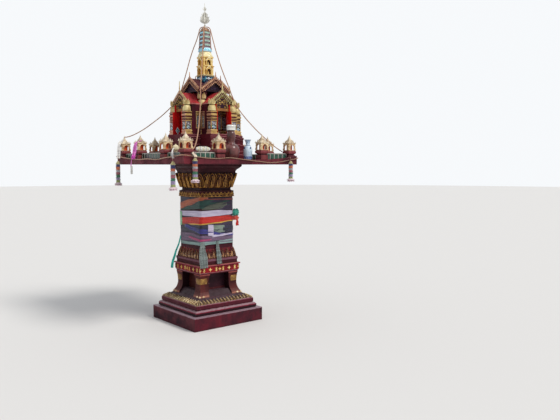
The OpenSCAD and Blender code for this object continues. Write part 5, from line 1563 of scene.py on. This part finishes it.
# Dark plates at the backs of the niches are painted shade, in a dark gold on the faces along x.
niche_dark = painted_cast("niche dark", "3c1418", "1c0a10", dust_and_sheen=0.1)
painted_over(niche_dark, x_facing_painted_light, "b8822e")
pediment_pale = gilded("pediment pale", "efe6bc", "c9b887", "6a5030", 0.15, 0.68)
dressing = []
for low, high, wide in ((drum_top, 0.082, 0.104), (tier_two, 0.075, 0.096)):
    core = wide / 2 - 0.005
    arch = arch_line(0.0385, high * 0.6)
    face = [moved(plate(arch, -0.0004, 0.0006, finish=1), 0, low + 0.005),
        moved(plate(frame_of(arch, arch_line(0.0445, high * 0.6 + 0.003, 0.003)), 0.0145, 0.0168, 0.0008,
        sink=-0.0004), 0, low + 0.005), moved(both_hands(
        plate([(0, 0), (0.033, -high * 0.47), (0.033, -high * 0.56), (0, -0.011)], 0.014, 0.0185, 0.0012, 2,
        sink=-0.0004)), 0, low + high * 1.06), moved(boss(0.0042, 0.0165, 0.6), 0, low + high * 0.82),
        moved(plate(mirrored(leaf_side(0.013, 0.030, 5)), 0.0005, 0.0035, 0.001, sink=0.0006), 0,
        low + 0.008)]
    face += [moved(boss(0.0024, 0.0005), side * (wide / 2 - 0.0075), low + high * (0.2 + 0.16 * i))
        for side in (-1, 1) for i in range(4)]
    dressing.append(on_faces(gather(*face), core, 0))
dome = soft_square(mm((2, 2349.5), (54.5, 2349.5), (55, 2353), (52.5, 2362), (48, 2373), (43, 2385),
    (40, 2396.5), (2, 2396.5)), 7.0, finish=2)
hood = both_hands(plate(mm((0, 34), (30, 4), (30, 0), (0, 24)), -0.002, 0.004, 0.0012, 2, sink=-0.0004))
dressing += [dome, on_faces(hood, 0.0530, 2.3555, -14)]
put_in_scene("tier_dressing", gather(*dressing), [tier_gold, niche_dark, pediment_pale])

# The mirrored tiers: the sides that face x have cyan panels between dark lines, the others pale mint
# panels with dark blots; a pinkish strip runs down each corner.
stack_base = painted_cast("stack grey pink", "a89a9c", "7c6c74", dust_and_sheen=0.2,
    bands=[(2.396, 2.4325, 0.0006, "b7d2e4")])
coat(stack_base, "spire_stack")
cyan_mirror = mirror_finish("cyan", "b2e2ee", "66b6cc", 0.2)
mint_mirror = mirror_finish("mint", "cfe8d8", "8fb8a4", 0.2)
blot = new_finish("dark blots", Roughness=0.3, Base_Color=tone("2c4a44"))[0]
strip_pink = painted_cast("corner strip pink", "b08a80", "7c564e", dust_and_sheen=0.2)
row_high = 0.0354
panels, corners = [], [box_form(0.010, 0.010, 0.031, (0.0378, -0.0378, stack_low + 0.005))]
for i in range(1, 5):
    wide, low = 0.076 - 0.0024 * (i - 1), stack_low + row_high * i
    panels += [on_side((wide - 0.016) * ((column + 0.5) / 3 - 0.5), wide / 2, low + row_high * 0.625)
        for column in range(3)]
    corners.append(box_form(0.010, 0.010, 0.0356, (wide / 2 - 0.0038, 0.0038 - wide / 2, low)))
cyan_panel = tile(0.0172, 0.0135, 0, 0, 0, 0.0018)
mint_panel = gather(tile(0.0172, 0.0135, 0, 0, 1, 0.0018),
    moved(in_finish(boss(0.0034, 0.0016, 0.3), 2), -0.001, 0.0008))
faces_x = [turn @ spot for turn in quarter_turns[1::2] for spot in panels]
faces_y = [turn @ spot for turn in quarter_turns[0::2] for spot in panels]
hem = [all_sides([on_side(x, 0.0428, 2.4120, -14)]) for x in (-0.026, 0, 0.026)]
put_in_scene("stack_mirrors", gather(repeat(cyan_panel, faces_x), repeat(mint_panel, faces_y),
    repeat(tile(0.022, 0.018, 0, 0, 0, 0.0018), sum(hem, []))), [cyan_mirror, mint_mirror, blot])
put_in_scene("stack_corner_strips", repeat(gather(*corners), quarter_turns), [strip_pink])

# Finial. The stem swells and narrows; eight pierced leaves stand round its bulb and four above it.
silver = gilded("silver paint", "eceae2", "b4b2aa", "6c645c", 0.3, 0.66, (0.35, 0.6))
cap_brown = gilded("cap brown", "a8805e", "6c4a36", "3c241c", 0.2, 0.6)
cap = gather(soft_square([(0.002, cap_low), (0.0355, cap_low), (0.0355, 2.580), (0.0335, 2.5885),
    (0.0285, 2.5975), (0.0195, 2.6045), (0.0085, 2.609), (0.002, 2.609)], 4.0),
    on_faces(plate(frame_of(arch_line(0.034, 0.020), arch_line(0.046, 0.026, 0.003)), -0.004, 0.0012, 0.001,
    sink=-0.0004), 0.0345, 2.5765, -18))
put_in_scene("spire_cap", cap, [cap_brown], ["finial"])
stem = turned_form(round_profile(mm((1, 2604), (8.5, 2606), (6.5, 2612), (6.5, 2622), (9.5, 2626), (6.5, 2630),
    (6.5, 2644), (13, 2654), (18, 2676), (16.5, 2694), (12, 2712), (6.5, 2736), (8.5, 2742), (5.5, 2748),
    (4.5, 2756), (6.5, 2764), (4.5, 2772), (4, 2790), (2.8, 2797), (2.8, 2800.5), (4.2, 2806), (2.2, 2816),
    (0.4, 2827)), 0.002), 16)


def pierced_leaf():
    """Side view of one leaf plate, from the stem outwards, with curled licks and a raised ring."""
    parts = [plate(mm((6, 0), (20, 4), (31, 10), (40, 19), (47.8, 36), (43, 33), (37, 31), (36, 40),
        (38.5, 52), (40.5, 63), (34, 59), (29, 57), (25, 66), (26, 76), (29.5, 87), (23, 83), (18.5, 81),
        (17, 88), (14.5, 96), (10.5, 89), (6, 94)), -0.0016, 0.0016, 0.0008, sink=-0.0003)]
    ring = smooth_line(mm((16, 22, 0), (26, 24, 0), (30, 34, 0), (27, 44, 0), (19, 42, 0), (14, 32, 0)), 0.003,
        True)
    for before, after in zip(ring, ring[1:] + ring[:1]):
        run = after - before
        piece = bar(run.length + 0.001, 0.0052, 0.0016, 0.0004)
        piece.transform(Matrix.Translation((before + after) / 2)
            @ Matrix.Rotation(math.atan2(run.y, run.x), 4, "Z") @ turn_by(90, "X"))
        parts.append(piece)
    return gather(*parts)


leaf_low, high_leaf_low = 2.643, 2.757
leaf_turns = [turn_by(45 * k) @ shift(0, 0, leaf_low) @ turn_by(90, "X") for k in range(8)]
high_turns = [turn @ shift(0, 0, high_leaf_low) @ turn_by(90, "X") for turn in quarter_turns]
high_leaf = plate(mm((3, 0), (13, 3), (25, 17), (12, 13), (9, 20), (11, 29), (5.5, 26), (3, 35)), -0.0013,
    0.0013, 0.0006, sink=-0.0002)
put_in_scene("finial_silver", gather(stem, repeat(pierced_leaf(), leaf_turns), repeat(high_leaf, high_turns)),
    [silver], ["finial"])

# Stage. A plain pale floor under the shrine, an even grey-white sky and one broad soft lamp from
# the right and front, as on a bright overcast day.
floor = bmesh.new()
bmesh.ops.create_circle(floor, cap_ends=True, segments=96, radius=40)
floor_mesh = bpy.data.meshes.new("floor")
floor.to_mesh(floor_mesh)
floor.free()
pale_floor = new_finish("pale floor", Roughness=0.9, Specular_IOR_Level=0.1,
    Base_Color=(0.72, 0.71, 0.70, 1))[0]
floor_mesh.materials.append(pale_floor)
floor_plane = bpy.data.objects.new("floor", floor_mesh)
scene.collection.objects.link(floor_plane)

sky = bpy.data.worlds.new("overcast sky")
scene.world = sky
sky.use_nodes = True
tree = sky.node_tree
sky_light = tree.nodes["Background"]
sky_light.inputs["Color"].default_value = (0.93, 0.96, 1.0, 1)
sky_light.inputs["Strength"].default_value = 0.62
seen_sky = shade(tree, "Background", {"Color": (0.93, 0.95, 0.97, 1), "Strength": 1.0})
rays = shade(tree, "LightPath")
seen = rays.outputs["Is Camera Ray"]
for kind in ("Is Glossy Ray", "Is Transmission Ray"):
    seen = shade(tree, "Math", {0: seen, 1: rays.outputs[kind]}, operation="ADD", use_clamp=True).outputs[0]
either = shade(tree, "MixShader", {0: seen, 1: sky_light.outputs[0], 2: seen_sky.outputs[0]})
tree.links.new(either.outputs[0], tree.nodes["World Output"].inputs["Surface"])

sun = bpy.data.lights.new("soft_sun", "SUN")
sun.energy = 2.3
sun.angle = math.radians(18)
sun.color = (1.0, 0.97, 0.92)
sun_lamp = bpy.data.objects.new("soft_sun", sun)
sun_lamp.rotation_euler = Vector((0.30, -0.75, 0.85)).to_track_quat("Z", "Y").to_euler()
scene.collection.objects.link(sun_lamp)
